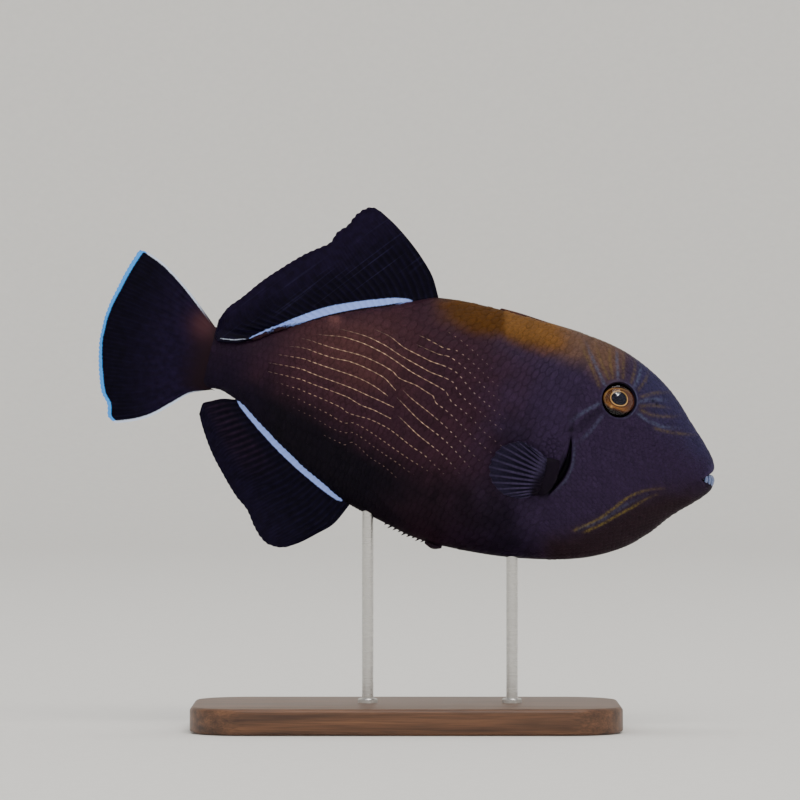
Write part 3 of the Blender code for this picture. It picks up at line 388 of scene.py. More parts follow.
def face_point(angle, t):
    """The snout: t runs from the mouth's rim at 0, over the lip, to the head at FACE_END."""
    start, end = mouth_edge(angle), section(FACE_END, angle)
    lip = start + join(-by_angle(LIP_FORWARD, angle), np.cos(angle) * by_angle(LIP_OUTWARD, angle),
                       np.sin(angle) * by_angle(LIP_OUTWARD, angle))
    cheek = end + unit(end - section(FACE_END + 1, angle)) * FACE_PULL
    t = np.asarray(t)[..., None]
    return start * (1 - t) ** 3 + lip * 3 * t * (1 - t) ** 2 + cheek * 3 * t * t * (1 - t) + end * t ** 3


def body(w, angle):
    """The body's right or left side, without its sign, at station w and section angle."""
    w, angle = np.broadcast_arrays(w, angle)
    near = face_point(angle, np.clip(w / FACE_END, 0, 1))
    return np.where((w < FACE_END)[..., None], near, section(np.maximum(w, FACE_END), angle))


class BodyTable:
    """The body measured once: its points, normals and girth at even steps of w and t."""

    def __init__(self, stations=728, shares=361):
        self.w = np.linspace(0, STALK_END, stations)
        self.t = np.linspace(0, 1, shares)
        angles = np.linspace(-math.pi / 2, math.pi / 2, 721)
        fine = body(self.w[:, None], angles[None, :])
        lengths = np.cumsum(np.linalg.norm(np.diff(fine, axis=1), axis=2), axis=1)
        lengths = np.concatenate([np.zeros((stations, 1)), lengths], axis=1)
        self.girth = lengths[:, -1]
        self.middle = lengths[:, 360] / self.girth
        self.points = np.empty((stations, shares, 3))
        self.angle = np.empty((stations, shares))
        for i in range(stations):
            wanted = self.t * self.girth[i]
            self.angle[i] = np.interp(wanted, lengths[i], angles)
            for axis in range(3):
                self.points[i, :, axis] = np.interp(wanted, lengths[i], fine[i, :, axis])
        around = np.gradient(self.points, axis=1)
        normals = np.cross(around, np.gradient(self.points, axis=0))
        normals[:, [0, -1], 1] = 0
        self.normals = unit(normals)

    def look_up(self, values, w, t):
        """Values of a table at stations w and shares t, between its steps."""
        w, t = np.broadcast_arrays(w, t)
        a = np.clip(w / STALK_END, 0, 1) * (len(self.w) - 1)
        b = np.clip(t, 0, 1) * (len(self.t) - 1)
        i, j = np.minimum(a.astype(int), len(self.w) - 2), np.minimum(b.astype(int), len(self.t) - 2)
        u, v = a - i, b - j
        if values.ndim == 3:
            u, v = u[..., None], v[..., None]
        low = values[i, j] * (1 - u) + values[i + 1, j] * u
        return low * (1 - v) + (values[i, j + 1] * (1 - u) + values[i + 1, j + 1] * u) * v


BODY = BodyTable()


def spot(w, t, lift=0.0, side=-1):
    """Points over the body's skin, lifted square to it."""
    lift = np.asarray(lift, float)[..., None]
    points = BODY.look_up(BODY.points, w, t) + unit(BODY.look_up(BODY.normals, w, t)) * lift
    return points * np.array([1, side, 1])


def girth(w):
    return np.interp(w, BODY.w, BODY.girth)


def share_of(w, g):
    """The share t of a point g millimetres up the side from the middle of the flank."""
    return np.interp(w, BODY.w, BODY.middle) + g / girth(w)


def share_at_height(w, h):
    """The share t at which the side at station w has height h."""
    w, h = np.broadcast_arrays(np.asarray(w, float), np.asarray(h, float))
    low, high = np.zeros(w.shape), np.ones(w.shape)
    for _ in range(24):
        middle = (low + high) / 2
        under = BODY.look_up(BODY.points, w, middle)[..., 2] < h
        low, high = np.where(under, middle, low), np.where(under, high, middle)
    return (low + high) / 2


def up_the_side(w, h):
    """Millimetres up the side, from the middle of the flank, at which it has height h."""
    return (share_at_height(w, h) - np.interp(w, BODY.w, BODY.middle)) * girth(w)


def flank_breadth(s, h):
    return BODY.look_up(BODY.points, s, share_at_height(s, h))[..., 1]


def polyline_distance(points, line, every=0.4):
    """Distance in side view from points, as (s, h), to a smooth line through a few points."""
    line = np.array(line, float)
    reach = np.concatenate([[0], np.cumsum(np.linalg.norm(np.diff(line, axis=0), axis=1))])
    along = np.linspace(0, reach[-1], max(int(reach[-1] / every), 3))
    dense = join(*[curve_through(np.stack([reach, line[:, k]], 1))(along) for k in (0, 1)])
    best = np.full(len(points), 99.0)
    share = np.zeros(len(points))
    for a, b, part in zip(dense, dense[1:], along[1:] / reach[-1]):
        step = b - a
        on = np.clip(((points - a) @ step) / (step @ step), 0, 1)
        gap = np.linalg.norm(points - a - on[:, None] * step, axis=1)
        share = np.where(gap < best, part, share)
        best = np.minimum(best, gap)
    return best, share


def line_strength(points, lines, width, fade=0.16):
    """How strongly a set of lines, each fading at its ends, colours points in side view."""
    strength = np.zeros(len(points))
    for line in lines:
        gap, share = polyline_distance(points, line)
        ends = rise(share, 0, fade * 0.4) * (1 - 0.75 * rise(share, 1 - fade * 2.5, 1))
        strength = np.maximum(strength, (1 - rise(gap, width * 0.2, width * 1.5)) * ends)
    return strength


def markings(points):
    """The skin's markings at points of the fish's frame, as a share from 0 to 1 for each colour."""
    flat = np.asarray(points, float).reshape(-1, 3)
    s, h = flat[:, 0], flat[:, 2]
    side = flat[:, [0, 2]]
    near_head = s < 62
    blue, gold = np.zeros(len(s)), np.zeros(len(s))
    spots = side[near_head]
    behind = s - head_edge(h)
    cover_edge = 0.45 * np.exp(-((behind + 0.7) / 0.4) ** 2) * in_slit(h)
    blue[near_head] = np.maximum(
        0.65 * line_strength(spots, BLUE_LINES, 0.62), 0.35 * line_strength(spots, FAINT_BLUE, 0.7))
    blue = np.maximum(blue, cover_edge)
    gold[near_head] = np.maximum(
        0.42 * line_strength(spots, GOLD_LINES, 0.6), 0.95 * line_strength(spots, CHEEK_GOLD, 0.5))
    red = 1 - rise(np.hypot(s - RED_SPOT[0], (h - RED_SPOT[1]) * 1.2), 0.5, 4.2)
    warm = np.exp(-((s - 133) / 20) ** 2 - ((h - 14) / 14) ** 2)
    dark = (1 - rise(h, dark_below(s) - 7, dark_below(s) + 7)) * rise(s, 36, 60) * (0.68 + 0.32 * rise(s, 92, 120))
    # Skin is also darker above the pectoral fin
    dark = np.maximum(dark, 0.5 * np.exp(-((s - 73) / 7) ** 2 - ((h + 2) / 6) ** 2))
    dark = np.maximum(dark, 0.8 * (1 - rise(np.hypot(s - 52.9, h - 4.0), 0.5, 1.8)))
    dark[near_head] = np.maximum(dark[near_head], 0.5 * line_strength(spots, [BEHIND_EYE], 1.6))
    # Painted shade: the skin just behind the lower gill slit, round the pectoral lobe, is darkened as if shaded by the
    # gill cover and the lobe
    shadow = rise(behind, -0.1, 0.6) * (1 - rise(behind, 2.6, 4.6)) * rise(-h, 4, 8) * (1 - rise(-h, 19, 23))
    dark = np.maximum(dark, 0.8 * shadow)
    # How far back a point is with the fish's head down, as the patches of the nape end upright in the photo
    level = s - math.tan(PITCH) * h
    return {
        "brown": rise(s, 60, 96),
        "warm": warm,
        "dark": dark,
        "bronze": rise(h, bronze_above(s) - 5, bronze_above(s) + 2) * rise(level, 50, 61) * (1 - rise(level, 91, 104)),
        "amber": rise(h, bronze_above(s) - 4, bronze_above(s) + 4) * rise(level, 46, 60) * (1 - rise(level, 74, 76.5)),
        "rosy": rise(h - 4 * rise(s, 45, 56), 19, 31) * rise(s, 33, 47) * (1 - rise(level, 52, 64)),
        "indigo": rise(h - 0.55 * s, -8, 12) * (1 - rise(s, 28, 44)),
        "chin": (1 - rise(h, chin_below(s) - 5, chin_below(s) + 7)) * (1 - rise(s, 46, 66)),
        "stalk": rise(s, 150, 176),
        "red": red,
        "blue": blue,
        "gold": gold,
    }


def unwrap(w, g, side):
    """Place on the flattened skin of points at station w, g millimetres up the side."""
    return join(0.01 + w * UNWRAP, 0.012 + (g + 52) * UNWRAP + (0.5 if side > 0 else 0.0))


def grid_faces(rows, columns, closed=False):
    """Corner numbers of the faces of a grid of points, whose columns may close into a ring."""
    i, j = np.meshgrid(np.arange(rows - 1), np.arange(columns if closed else columns - 1), indexing="ij")
    k = (j + 1) % columns
    return np.stack([i * columns + j, i * columns + k, (i + 1) * columns + k, (i + 1) * columns + j], -1).reshape(-1, 4)


def volume(points, faces):
    a, b, c = (points[faces[:, k]] for k in range(3))
    total = np.einsum("ij,ij->i", a, np.cross(b, c)).sum()
    if faces.shape[1] == 4:
        d = points[faces[:, 3]]
        total += np.einsum("ij,ij->i", a, np.cross(c, d)).sum()
    return total


def new_piece(name, points, faces, maps, values=None, sharp=None, world=False):
    """A mesh piece from points and from lists of faces with the same number of corners.

    Maps holds the faces' corners on the OFBake map, and values the numbers stored at each point.
    """
    co = np.asarray(points, float).reshape(-1, 3)
    co = co if world else place(co)
    middle = co.mean(0)
    if sum(volume(co - middle, f) for f in faces if len(f)) < 0:
        faces, maps = [f[:, ::-1] for f in faces], [m[:, ::-1] for m in maps]
    mesh = bpy.data.meshes.new(name)
    mesh.vertices.add(len(co))
    mesh.vertices.foreach_set("co", co.astype(np.float32).ravel())
    corners = np.concatenate([f.ravel() for f in faces]).astype(np.int32)
    sizes = np.concatenate([np.full(len(f), f.shape[1]) for f in faces])
    mesh.loops.add(len(corners))
    mesh.loops.foreach_set("vertex_index", corners)
    mesh.polygons.add(len(sizes))
    mesh.polygons.foreach_set("loop_start", np.concatenate([[0], np.cumsum(sizes)[:-1]]).astype(np.int32))
    mesh.update(calc_edges=True)
    flat = np.concatenate([m.reshape(-1, 2) for m in maps])
    mesh.uv_layers.new(name="OFBake").uv.foreach_set("vector", flat.astype(np.float32).ravel())
    for key, numbers in (values or {}).items():
        mesh.attributes.new(key, "FLOAT", "POINT").data.foreach_set(
            "value", np.broadcast_to(numbers, len(co)).astype(np.float32).ravel())
    if mesh.validate():
        raise RuntimeError(f"{name}: the mesh holds faces that Blender can't keep")
    mesh.shade_smooth()
    if sharp:
        mesh.set_sharp_from_angle(angle=math.radians(sharp))
    obj = bpy.data.objects.new(name, mesh)
    bpy.context.scene.collection.objects.link(obj)
    return obj


def settle(obj, material, slot, *nodes):
    """Gives a piece its material, hangs it on the root body and hides the solids that it stands for."""
    obj.data.materials.append(material)
    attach(obj, "root")
    if nodes:
        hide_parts(*nodes)
    return obj


def add_node(tree, kind, settings=None, links=None):
    """Adds a shader node, sets its properties and input values, and links its inputs to outputs."""
    node = tree.nodes.new("ShaderNode" + kind)
    for key, value in (settings or {}).items():
        if isinstance(key, int) or key in node.inputs:
            node.inputs[key].default_value = value
        else:
            setattr(node, key, value)
    for key, socket in (links or {}).items():
        tree.links.new(socket, node.inputs[key])
    return node


def new_material(name):
    """A material with an empty Principled shader, as (material, node tree, shader)."""
    made = bpy.data.materials.get(name)
    if made:
        return made, None, None
    made = bpy.data.materials.new(name)
    made.use_nodes = True
    return made, made.node_tree, made.node_tree.nodes["Principled BSDF"]



def fish_skin(context):
    """Living fish skin as a cast shows it: pigment under a thin satin lacquer, so a soft broad sheen."""
    made, tree, shader = new_material("satin_lacquered_fish_skin")
    if not tree:
        return made
    chosen = context.scene.triggerfish
    here = add_node(tree, "TexCoord").outputs["Object"]
    colour = add_node(tree, "RGB")
    colour.outputs[0].default_value = (*chosen.violet, 1)
    colour = colour.outputs[0]
    # Soft drifts of tone about 9 mm across break up the edges of the larger patches
    drift = add_node(tree, "TexNoise", {"Scale": 110.0, "Detail": 3.0}, {"Vector": here})
    layers = (
        ("brown", chosen.brown, 0.95), ("warm", chosen.warm, 0.5), ("chin", chosen.chin, 0.9),
        ("indigo", chosen.indigo, 0.9), ("rosy", chosen.rosy, 0.9), ("bronze", chosen.bronze, 1.0),
        ("amber", chosen.amber, 0.85), ("dark", chosen.dark, 0.97), ("stalk", chosen.stalk, 0.8),
        ("red", chosen.red, 0.75),
    )
    for name, tone, most in layers:
        mask = add_node(tree, "Attribute", {"attribute_name": name})
        # Only the soft middle of an edge is broken, so the patch stays clean elsewhere
        soft = add_node(tree, "Math", {"operation": "SUBTRACT", 0: 1.0}, {1: mask.outputs["Fac"]})
        soft = add_node(tree, "Math", {"operation": "MULTIPLY"}, {0: soft.outputs[0], 1: mask.outputs["Fac"]})
        broken = add_node(tree, "Math", {"operation": "MULTIPLY", 1: 4.0}, {0: soft.outputs[0]}).outputs[0]
        wobble = add_node(tree, "Math", {"operation": "MULTIPLY_ADD", 1: 1.0, 2: -0.5}, {0: drift.outputs[0]})
        moved = add_node(tree, "Math", {"operation": "MULTIPLY"}, {0: wobble.outputs[0], 1: broken})
        total = add_node(tree, "Math", {"operation": "ADD", "use_clamp": True}, {
            0: mask.outputs["Fac"], 1: moved.outputs[0]})
        share = add_node(tree, "Math", {"operation": "MULTIPLY", 1: most}, {0: total.outputs[0]})
        mixed = add_node(tree, "Mix", {"data_type": "RGBA", 7: (*tone, 1)}, {0: share.outputs[0], 6: colour})
        colour = mixed.outputs[2]
    # Speckles of pigment: about 0.9 mm, and 0.3 mm, the size of the pits between tubercles
    for size, low, high in ((0.35, 0.78, 1.22), (0.9, 0.8, 1.2)):
        speckle = add_node(tree, "TexNoise", {"Scale": 1000 / size, "Detail": 2.0}, {"Vector": here})
        shade = add_node(tree, "MapRange", {1: 0.25, 2: 0.75, 3: low, 4: high}, {0: speckle.outputs[0]})
        colour = add_node(tree, "VectorMath", {"operation": "SCALE"}, {
            0: colour, "Scale": shade.outputs[0]}).outputs[0]
    # The shade attribute brings each plate's own tone, with painted shade in the grooves and hollows and painted light
    # on the scutes' domes
    plate = add_node(tree, "Attribute", {"attribute_name": "shade"})
    colour = add_node(tree, "VectorMath", {"operation": "SCALE"}, {
        0: colour, "Scale": plate.outputs["Fac"]}).outputs[0]
    for name, tone in (("gold", chosen.line_gold), ("blue", chosen.line_blue)):
        mask = add_node(tree, "Attribute", {"attribute_name": name})
        mottled = add_node(tree, "MapRange", {1: 0.35, 2: 0.62, 3: 0.25, 4: 0.95}, {0: speckle.outputs[0]})
        share = add_node(tree, "Math", {"operation": "MULTIPLY"}, {0: mask.outputs["Fac"], 1: mottled.outputs[0]})
        mixed = add_node(tree, "Mix", {"data_type": "RGBA", 7: (*tone, 1)}, {0: share.outputs[0], 6: colour})
        colour = mixed.outputs[2]
    tree.links.new(colour, shader.inputs["Base Color"])
    # Tubercles 0.28 mm across on every plate, under grain of 0.1 mm
    bumps = add_node(tree, "TexVoronoi", {"feature": "SMOOTH_F1", "Scale": 1000 / 0.28}, {"Vector": here})
    grain = add_node(tree, "TexNoise", {"Scale": 1000 / 0.1}, {"Vector": here})
    bump = add_node(tree, "Bump", {"Strength": 0.35, "Distance": 0.00006}, {"Height": bumps.outputs["Distance"]})
    bump = add_node(tree, "Bump", {"Strength": 0.2, "Distance": 0.00003}, {
        "Height": grain.outputs[0], "Normal": bump.outputs[0]})
    tree.links.new(bump.outputs[0], shader.inputs["Normal"])
    rough = add_node(tree, "MapRange", {1: 0.3, 2: 0.7, 3: 0.42, 4: 0.58}, {0: drift.outputs[0]})
    tree.links.new(rough.outputs[0], shader.inputs["Roughness"])
    shader.inputs["IOR"].default_value = 1.45
    shader.inputs["Specular IOR Level"].default_value = 0.08
    return made


def row_keel(context):
    """Tan keels of dense scale enamel, worn smooth: paler than the plates and a little glossier."""
    made, tree, shader = new_material("tan_scale_enamel")
    if not tree:
        return made
    chosen = context.scene.triggerfish
    here = add_node(tree, "TexCoord").outputs["Object"]
    glow = add_node(tree, "Attribute", {"attribute_name": "tan"})
    grain = add_node(tree, "TexNoise", {"Scale": 1000 / 0.5}, {"Vector": here})
    uneven = add_node(tree, "MapRange", {1: 0.3, 2: 0.7, 3: 0.8, 4: 1.1}, {0: grain.outputs[0]})
    share = add_node(tree, "Math", {"operation": "MULTIPLY", "use_clamp": True}, {
        0: glow.outputs["Fac"], 1: uneven.outputs[0]})
    ahead = add_node(tree, "Attribute", {"attribute_name": "front"})
    pale = add_node(tree, "Mix", {"data_type": "RGBA", 6: (*chosen.tan, 1), 7: (*chosen.tan_front, 1)}, {
        0: ahead.outputs["Fac"]})
    mixed = add_node(tree, "Mix", {"data_type": "RGBA", 6: (*chosen.brown, 1)}, {
        0: share.outputs[0], 7: pale.outputs[2]})
    tree.links.new(mixed.outputs[2], shader.inputs["Base Color"])
    shader.inputs["Roughness"].default_value = 0.42
    shader.inputs["IOR"].default_value = 1.5
    shader.inputs["Specular IOR Level"].default_value = 0.2
    return made


def fin_membrane(context):
    """Thin skin over horny rays, nearly black: the satin of wet vellum, with a violet cast on the rays."""
    made, tree, shader = new_material("black_fin_membrane")
    if not tree:
        return made
    chosen = context.scene.triggerfish
    here = add_node(tree, "TexCoord").outputs["Object"]
    reads = {}
    for name in ("ray", "stripe", "margin", "whitish", "fade", "along", "ray_highlights", "warm", "root", "sheen_streaks"):
        reads[name] = add_node(tree, "Attribute", {"attribute_name": name}).outputs["Fac"]
    base = add_node(tree, "Mix", {"data_type": "RGBA", 6: (*chosen.fin, 1), 7: (*chosen.fin_root, 1)}, {
        0: reads["fade"]})
    lit = add_node(tree, "Math", {"operation": "MULTIPLY", 1: 0.5}, {0: reads["ray"]})
    colour = add_node(tree, "Mix", {"data_type": "RGBA", 7: (*chosen.fin_ray, 1)}, {
        0: lit.outputs[0], 6: base.outputs[2]}).outputs[2]
    # Painted sheen: pale streaks that run up and forward across the rays of the dorsal fin, standing in for light
    # caught on its fine folds
    folds = add_node(tree, "Mapping", {
        "vector_type": "TEXTURE", "Rotation": (0, math.radians(-37), 0), "Scale": (0.04, 0.04, 0.0007)}, {"Vector": here})
    folds = add_node(tree, "TexNoise", {"Scale": 1.0, "Detail": 2.0}, {"Vector": folds.outputs[0]})
    folds = add_node(tree, "MapRange", {1: 0.58, 2: 0.72, 3: 0.0, 4: 0.8}, {0: folds.outputs[0]})
    folds = add_node(tree, "Math", {"operation": "MULTIPLY"}, {0: folds.outputs[0], 1: reads["sheen_streaks"]})
    # Both mixes paint light: highlights on the anal fin's rays, and the sheen streaks on the dorsal fin
    for share, tone in ((reads["ray_highlights"], chosen.anal_ray_highlight), (folds.outputs[0], chosen.fin_sheen)):
        colour = add_node(tree, "Mix", {"data_type": "RGBA", 7: (*tone, 1)}, {0: share, 6: colour}).outputs[2]
    cloud = add_node(tree, "TexNoise", {"Scale": 1000 / 2.2, "Detail": 4.0}, {"Vector": here})
    shade = add_node(tree, "MapRange", {1: 0.3, 2: 0.7, 3: 0.65, 4: 1.35}, {0: cloud.outputs[0]})
    colour = add_node(tree, "VectorMath", {"operation": "SCALE"}, {0: colour, "Scale": shade.outputs[0]}).outputs[0]
    # Edges of the pale bands are feathered by noise about 0.6 mm across
    feather = add_node(tree, "TexNoise", {"Scale": 1000 / 0.6, "Detail": 2.0}, {"Vector": here})
    for name, tone, ragged in (("stripe", chosen.stripe, 0.5), ("margin", chosen.tail_blue, 0.5), ("whitish", chosen.whitish, 0.4)):
        moved = add_node(tree, "Math", {"operation": "MULTIPLY_ADD", 1: ragged, 2: -ragged / 2}, {
            0: feather.outputs[0]})
        edge = add_node(tree, "Math", {"operation": "ADD"}, {0: reads[name], 1: moved.outputs[0]})
        share = add_node(tree, "MapRange", {1: -0.1, 2: 0.22}, {0: edge.outputs[0]})
        colour = add_node(tree, "Mix", {"data_type": "RGBA", 7: (*tone, 1)}, {
            0: share.outputs[0], 6: colour}).outputs[2]
    for name, tone in (("root", chosen.root), ("warm", chosen.fin_warm)):
        colour = add_node(tree, "Mix", {"data_type": "RGBA", 7: (*tone, 1)}, {0: reads[name], 6: colour}).outputs[2]
    tree.links.new(colour, shader.inputs["Base Color"])
    # Joints of the rays, 0.5 mm apart, and the fine wrinkles of the membrane
    joints = add_node(tree, "Math", {"operation": "SINE"}, {0: reads["along"]})
    wrinkles = add_node(tree, "TexNoise", {"Scale": 1000 / 0.35}, {"Vector": here})
    bump = add_node(tree, "Bump", {"Strength": 0.25, "Distance": 0.00005}, {"Height": joints.outputs[0]})
    bump = add_node(tree, "Bump", {"Strength": 0.25, "Distance": 0.00005}, {
        "Height": wrinkles.outputs[0], "Normal": bump.outputs[0]})
    tree.links.new(bump.outputs[0], shader.inputs["Normal"])
    shader.inputs["Roughness"].default_value = 0.5
    shader.inputs["IOR"].default_value = 1.45
    shader.inputs["Specular IOR Level"].default_value = 0.06
    return made


def iris_enamel(context):
    """Metallic paint behind glass: copper flakes round the pupil, its gold rim and dark outer ring, with painted shade
    at the iris's edge and on the step down to the pupil, and a small painted highlight low on the iris.
    """
    made, tree, shader = new_material("copper_iris_enamel")
    if not tree:
        return made
    chosen = context.scene.triggerfish
    here = add_node(tree, "TexCoord").outputs["Object"]
    fibre = add_node(tree, "TexNoise", {"Scale": 1000 / 0.5, "Detail": 4.0}, {"Vector": here})
    colour = add_node(tree, "RGB")
    colour.outputs[0].default_value = (*chosen.iris_dark, 1)
    colour = colour.outputs[0]
    layers = (("plum", chosen.iris_plum), ("copper", chosen.iris), ("arc", chosen.iris_arc), ("gold", chosen.iris_gold))
    for name, tone in layers:
        mask = add_node(tree, "Attribute", {"attribute_name": name})
        colour = add_node(tree, "Mix", {"data_type": "RGBA", 7: (*tone, 1)}, {
            0: mask.outputs["Fac"], 6: colour}).outputs[2]
    shadow = add_node(tree, "Attribute", {"attribute_name": "shade"})
    mottled = add_node(tree, "MapRange", {1: 0.3, 2: 0.7, 3: 0.7, 4: 1.25}, {0: fibre.outputs[0]})
    for scale in (mottled.outputs[0], shadow.outputs["Fac"]):
        colour = add_node(tree, "VectorMath", {"operation": "SCALE"}, {0: colour, "Scale": scale}).outputs[0]
    tree.links.new(colour, shader.inputs["Base Color"])
    bump = add_node(tree, "Bump", {"Strength": 0.3, "Distance": 0.0001}, {"Height": fibre.outputs[0]})
    tree.links.new(bump.outputs[0], shader.inputs["Normal"])
    shader.inputs["Roughness"].default_value = 0.5
    shader.inputs["Specular IOR Level"].default_value = 0.0
    return made



def plain_finish(name, colour, rough, ior=1.5, grain_mm=0.3, bump_mm=0.02, spread=0.15, gloss=0.5):
    """A finish of one colour with fine grain in its tone and surface."""
    made, tree, shader = new_material(name)
    if not tree:
        return made
    here = add_node(tree, "TexCoord").outputs["Object"]
    grain = add_node(tree, "TexNoise", {"Scale": 1000 / grain_mm, "Detail": 3.0}, {"Vector": here})
    shade = add_node(tree, "MapRange", {1: 0.3, 2: 0.7, 3: 1 - spread, 4: 1 + spread}, {0: grain.outputs[0]})
    tone = add_node(tree, "VectorMath", {"operation": "SCALE", 0: tuple(colour)[:3]}, {"Scale": shade.outputs[0]})
    tree.links.new(tone.outputs[0], shader.inputs["Base Color"])
    bump = add_node(tree, "Bump", {"Strength": 0.3, "Distance": bump_mm * MM}, {"Height": grain.outputs[0]})
    tree.links.new(bump.outputs[0], shader.inputs["Normal"])
    shader.inputs["Roughness"].default_value = rough
    shader.inputs["IOR"].default_value = ior
    shader.inputs["Specular IOR Level"].default_value = gloss
    return made


def oiled_walnut(context):
    """Oiled walnut, planed and sanded: long dark grain along the base, with a low even gloss."""
    made, tree, shader = new_material("oiled_walnut")
    if not tree:
        return made
    chosen = context.scene.triggerfish
    here = add_node(tree, "TexCoord").outputs["Object"]
    # Growth rings about 3 mm apart, drawn out along the length of the board
    drawn = add_node(tree, "Mapping", {"Scale": (12.0, 330.0, 330.0)}, {"Vector": here})
    warp = add_node(tree, "TexNoise", {"Scale": 1.0, "Detail": 5.0, "Roughness": 0.6}, {"Vector": drawn.outputs[0]})
    fine = add_node(tree, "Mapping", {"Scale": (60.0, 2500.0, 2500.0)}, {"Vector": here})
    pores = add_node(tree, "TexNoise", {"Scale": 1.0, "Detail": 3.0}, {"Vector": fine.outputs[0]})
    ramp = add_node(tree, "ValToRGB", {}, {0: warp.outputs[0]})
    for mark, at, colour in zip(ramp.color_ramp.elements, (0.3, 0.72), (chosen.wood_dark, chosen.wood)):
        mark.position, mark.color = at, (*colour, 1)
    shade = add_node(tree, "MapRange", {1: 0.35, 2: 0.6, 3: 0.65, 4: 1.05}, {0: pores.outputs[0]})
    tone = add_node(tree, "VectorMath", {"operation": "SCALE"}, {0: ramp.outputs[0], "Scale": shade.outputs[0]})
    tree.links.new(tone.outputs[0], shader.inputs["Base Color"])
    bump = add_node(tree, "Bump", {"Strength": 0.25, "Distance": 0.00006}, {"Height": pores.outputs[0]})
    tree.links.new(bump.outputs[0], shader.inputs["Normal"])
    shader.inputs["Roughness"].default_value = 0.42
    shader.inputs["IOR"].default_value = 1.5
    return made


def brushed_steel(context):
    """Stainless steel bar brushed round its axis: rings of fine scratches that spread the highlight."""
    made, tree, shader = new_material("brushed_stainless_steel")
    if not tree:
        return made
    here = add_node(tree, "TexCoord").outputs["Object"]
    rings = add_node(tree, "Mapping", {"Scale": (40.0, 40.0, 5000.0)}, {"Vector": here})
    scratch = add_node(tree, "TexNoise", {"Scale": 1.0, "Detail": 3.0}, {"Vector": rings.outputs[0]})
    rough = add_node(tree, "MapRange", {1: 0.3, 2: 0.7, 3: 0.22, 4: 0.4}, {0: scratch.outputs[0]})
    tree.links.new(rough.outputs[0], shader.inputs["Roughness"])
    bump = add_node(tree, "Bump", {"Strength": 0.15, "Distance": 0.00002}, {"Height": scratch.outputs[0]})
    tree.links.new(bump.outputs[0], shader.inputs["Normal"])
    shader.inputs["Base Color"].default_value = linear("#C9C8C6")
    shader.inputs["Metallic"].default_value = 1.0
    return made


def clear_cornea(context):
    """Clear glass dome of the eye: a sharp highlight, with light let straight through to the iris behind."""
    made, tree, shader = new_material("clear_glass_cornea")
    if not tree:
        return made
    shader.inputs["Roughness"].default_value = 0.02
    shader.inputs["IOR"].default_value = 1.34
    shader.inputs["Specular IOR Level"].default_value = 0.04
    shader.inputs["Transmission Weight"].default_value = 1.0
    path = add_node(tree, "LightPath")
    open_air = add_node(tree, "BsdfTransparent")
    # Light between the lamps and the iris passes straight, so that the iris isn't lit twice, and so does
    # what has entered the glass, because a real eye has no second surface behind the first
    straight = path.outputs["Is Shadow Ray"]
    for ray in ("Is Diffuse Ray", "Is Transmission Ray"):
        straight = add_node(tree, "Math", {"operation": "MAXIMUM"}, {0: straight, 1: path.outputs[ray]}).outputs[0]
    mixed = add_node(tree, "MixShader", {}, {0: straight, 1: shader.outputs[0], 2: open_air.outputs[0]})
    tree.links.new(mixed.outputs[0], tree.nodes["Material Output"].inputs["Surface"])
    return made


def eye_frame(side):
    """Centre of the eye on the skin, and its axis out, its way up and its way forward."""
    s, h = EYE_AT
    at = spot(s, share_at_height(s, h), 0.0, side)
    ends = [spot(a, share_at_height(a, b), 0.0, side) for a, b in (
        (s + RIM_RADIUS, h), (s - RIM_RADIUS, h), (s, h + RIM_RADIUS), (s, h - RIM_RADIUS))]
    axis = unit(np.cross(ends[0] - ends[1], ends[2] - ends[3]) * -side)
    forward = unit(np.cross(axis, np.array([0, 0, 1.0])) * side)
    forward = forward if forward[0] < 0 else -forward
    up = unit(np.cross(axis, forward))
    return at, axis, up if up[2] > 0 else -up, forward


def sunk_for_eye(points, side, lift):
    """How far skin points are lifted near the eye: lowered into its socket."""
    at, axis, _, _ = eye_frame(side)
    away = points - at
    radius = np.linalg.norm(away - (away @ axis)[..., None] * axis, axis=-1)
    near = np.linalg.norm(away, axis=-1) < 12
    return np.where(near, lift - 0.35 * (1 - rise(radius, 6.4, 7.5)) - 4.2 * (1 - rise(radius, 5.0, 6.2)), lift)


def in_slit(h):
    return np.clip(np.minimum((SLIT_TOP - h) / 4, (h - SLIT_FOOT) / 4), 0, 1)


def slit_breadth(h):
    """How wide the gill slit stands open, as a share of its full width."""
    return 0.3 + 0.7 * rise(SLIT_TOP - h, 1.0, 12.0) * (1 - 0.6 * rise(-h, 15.0, 21.0))


def in_groove(s):
    start, end = GROOVE
    return np.clip(np.minimum(s - start, end - s) / 3.0, 0, 1)


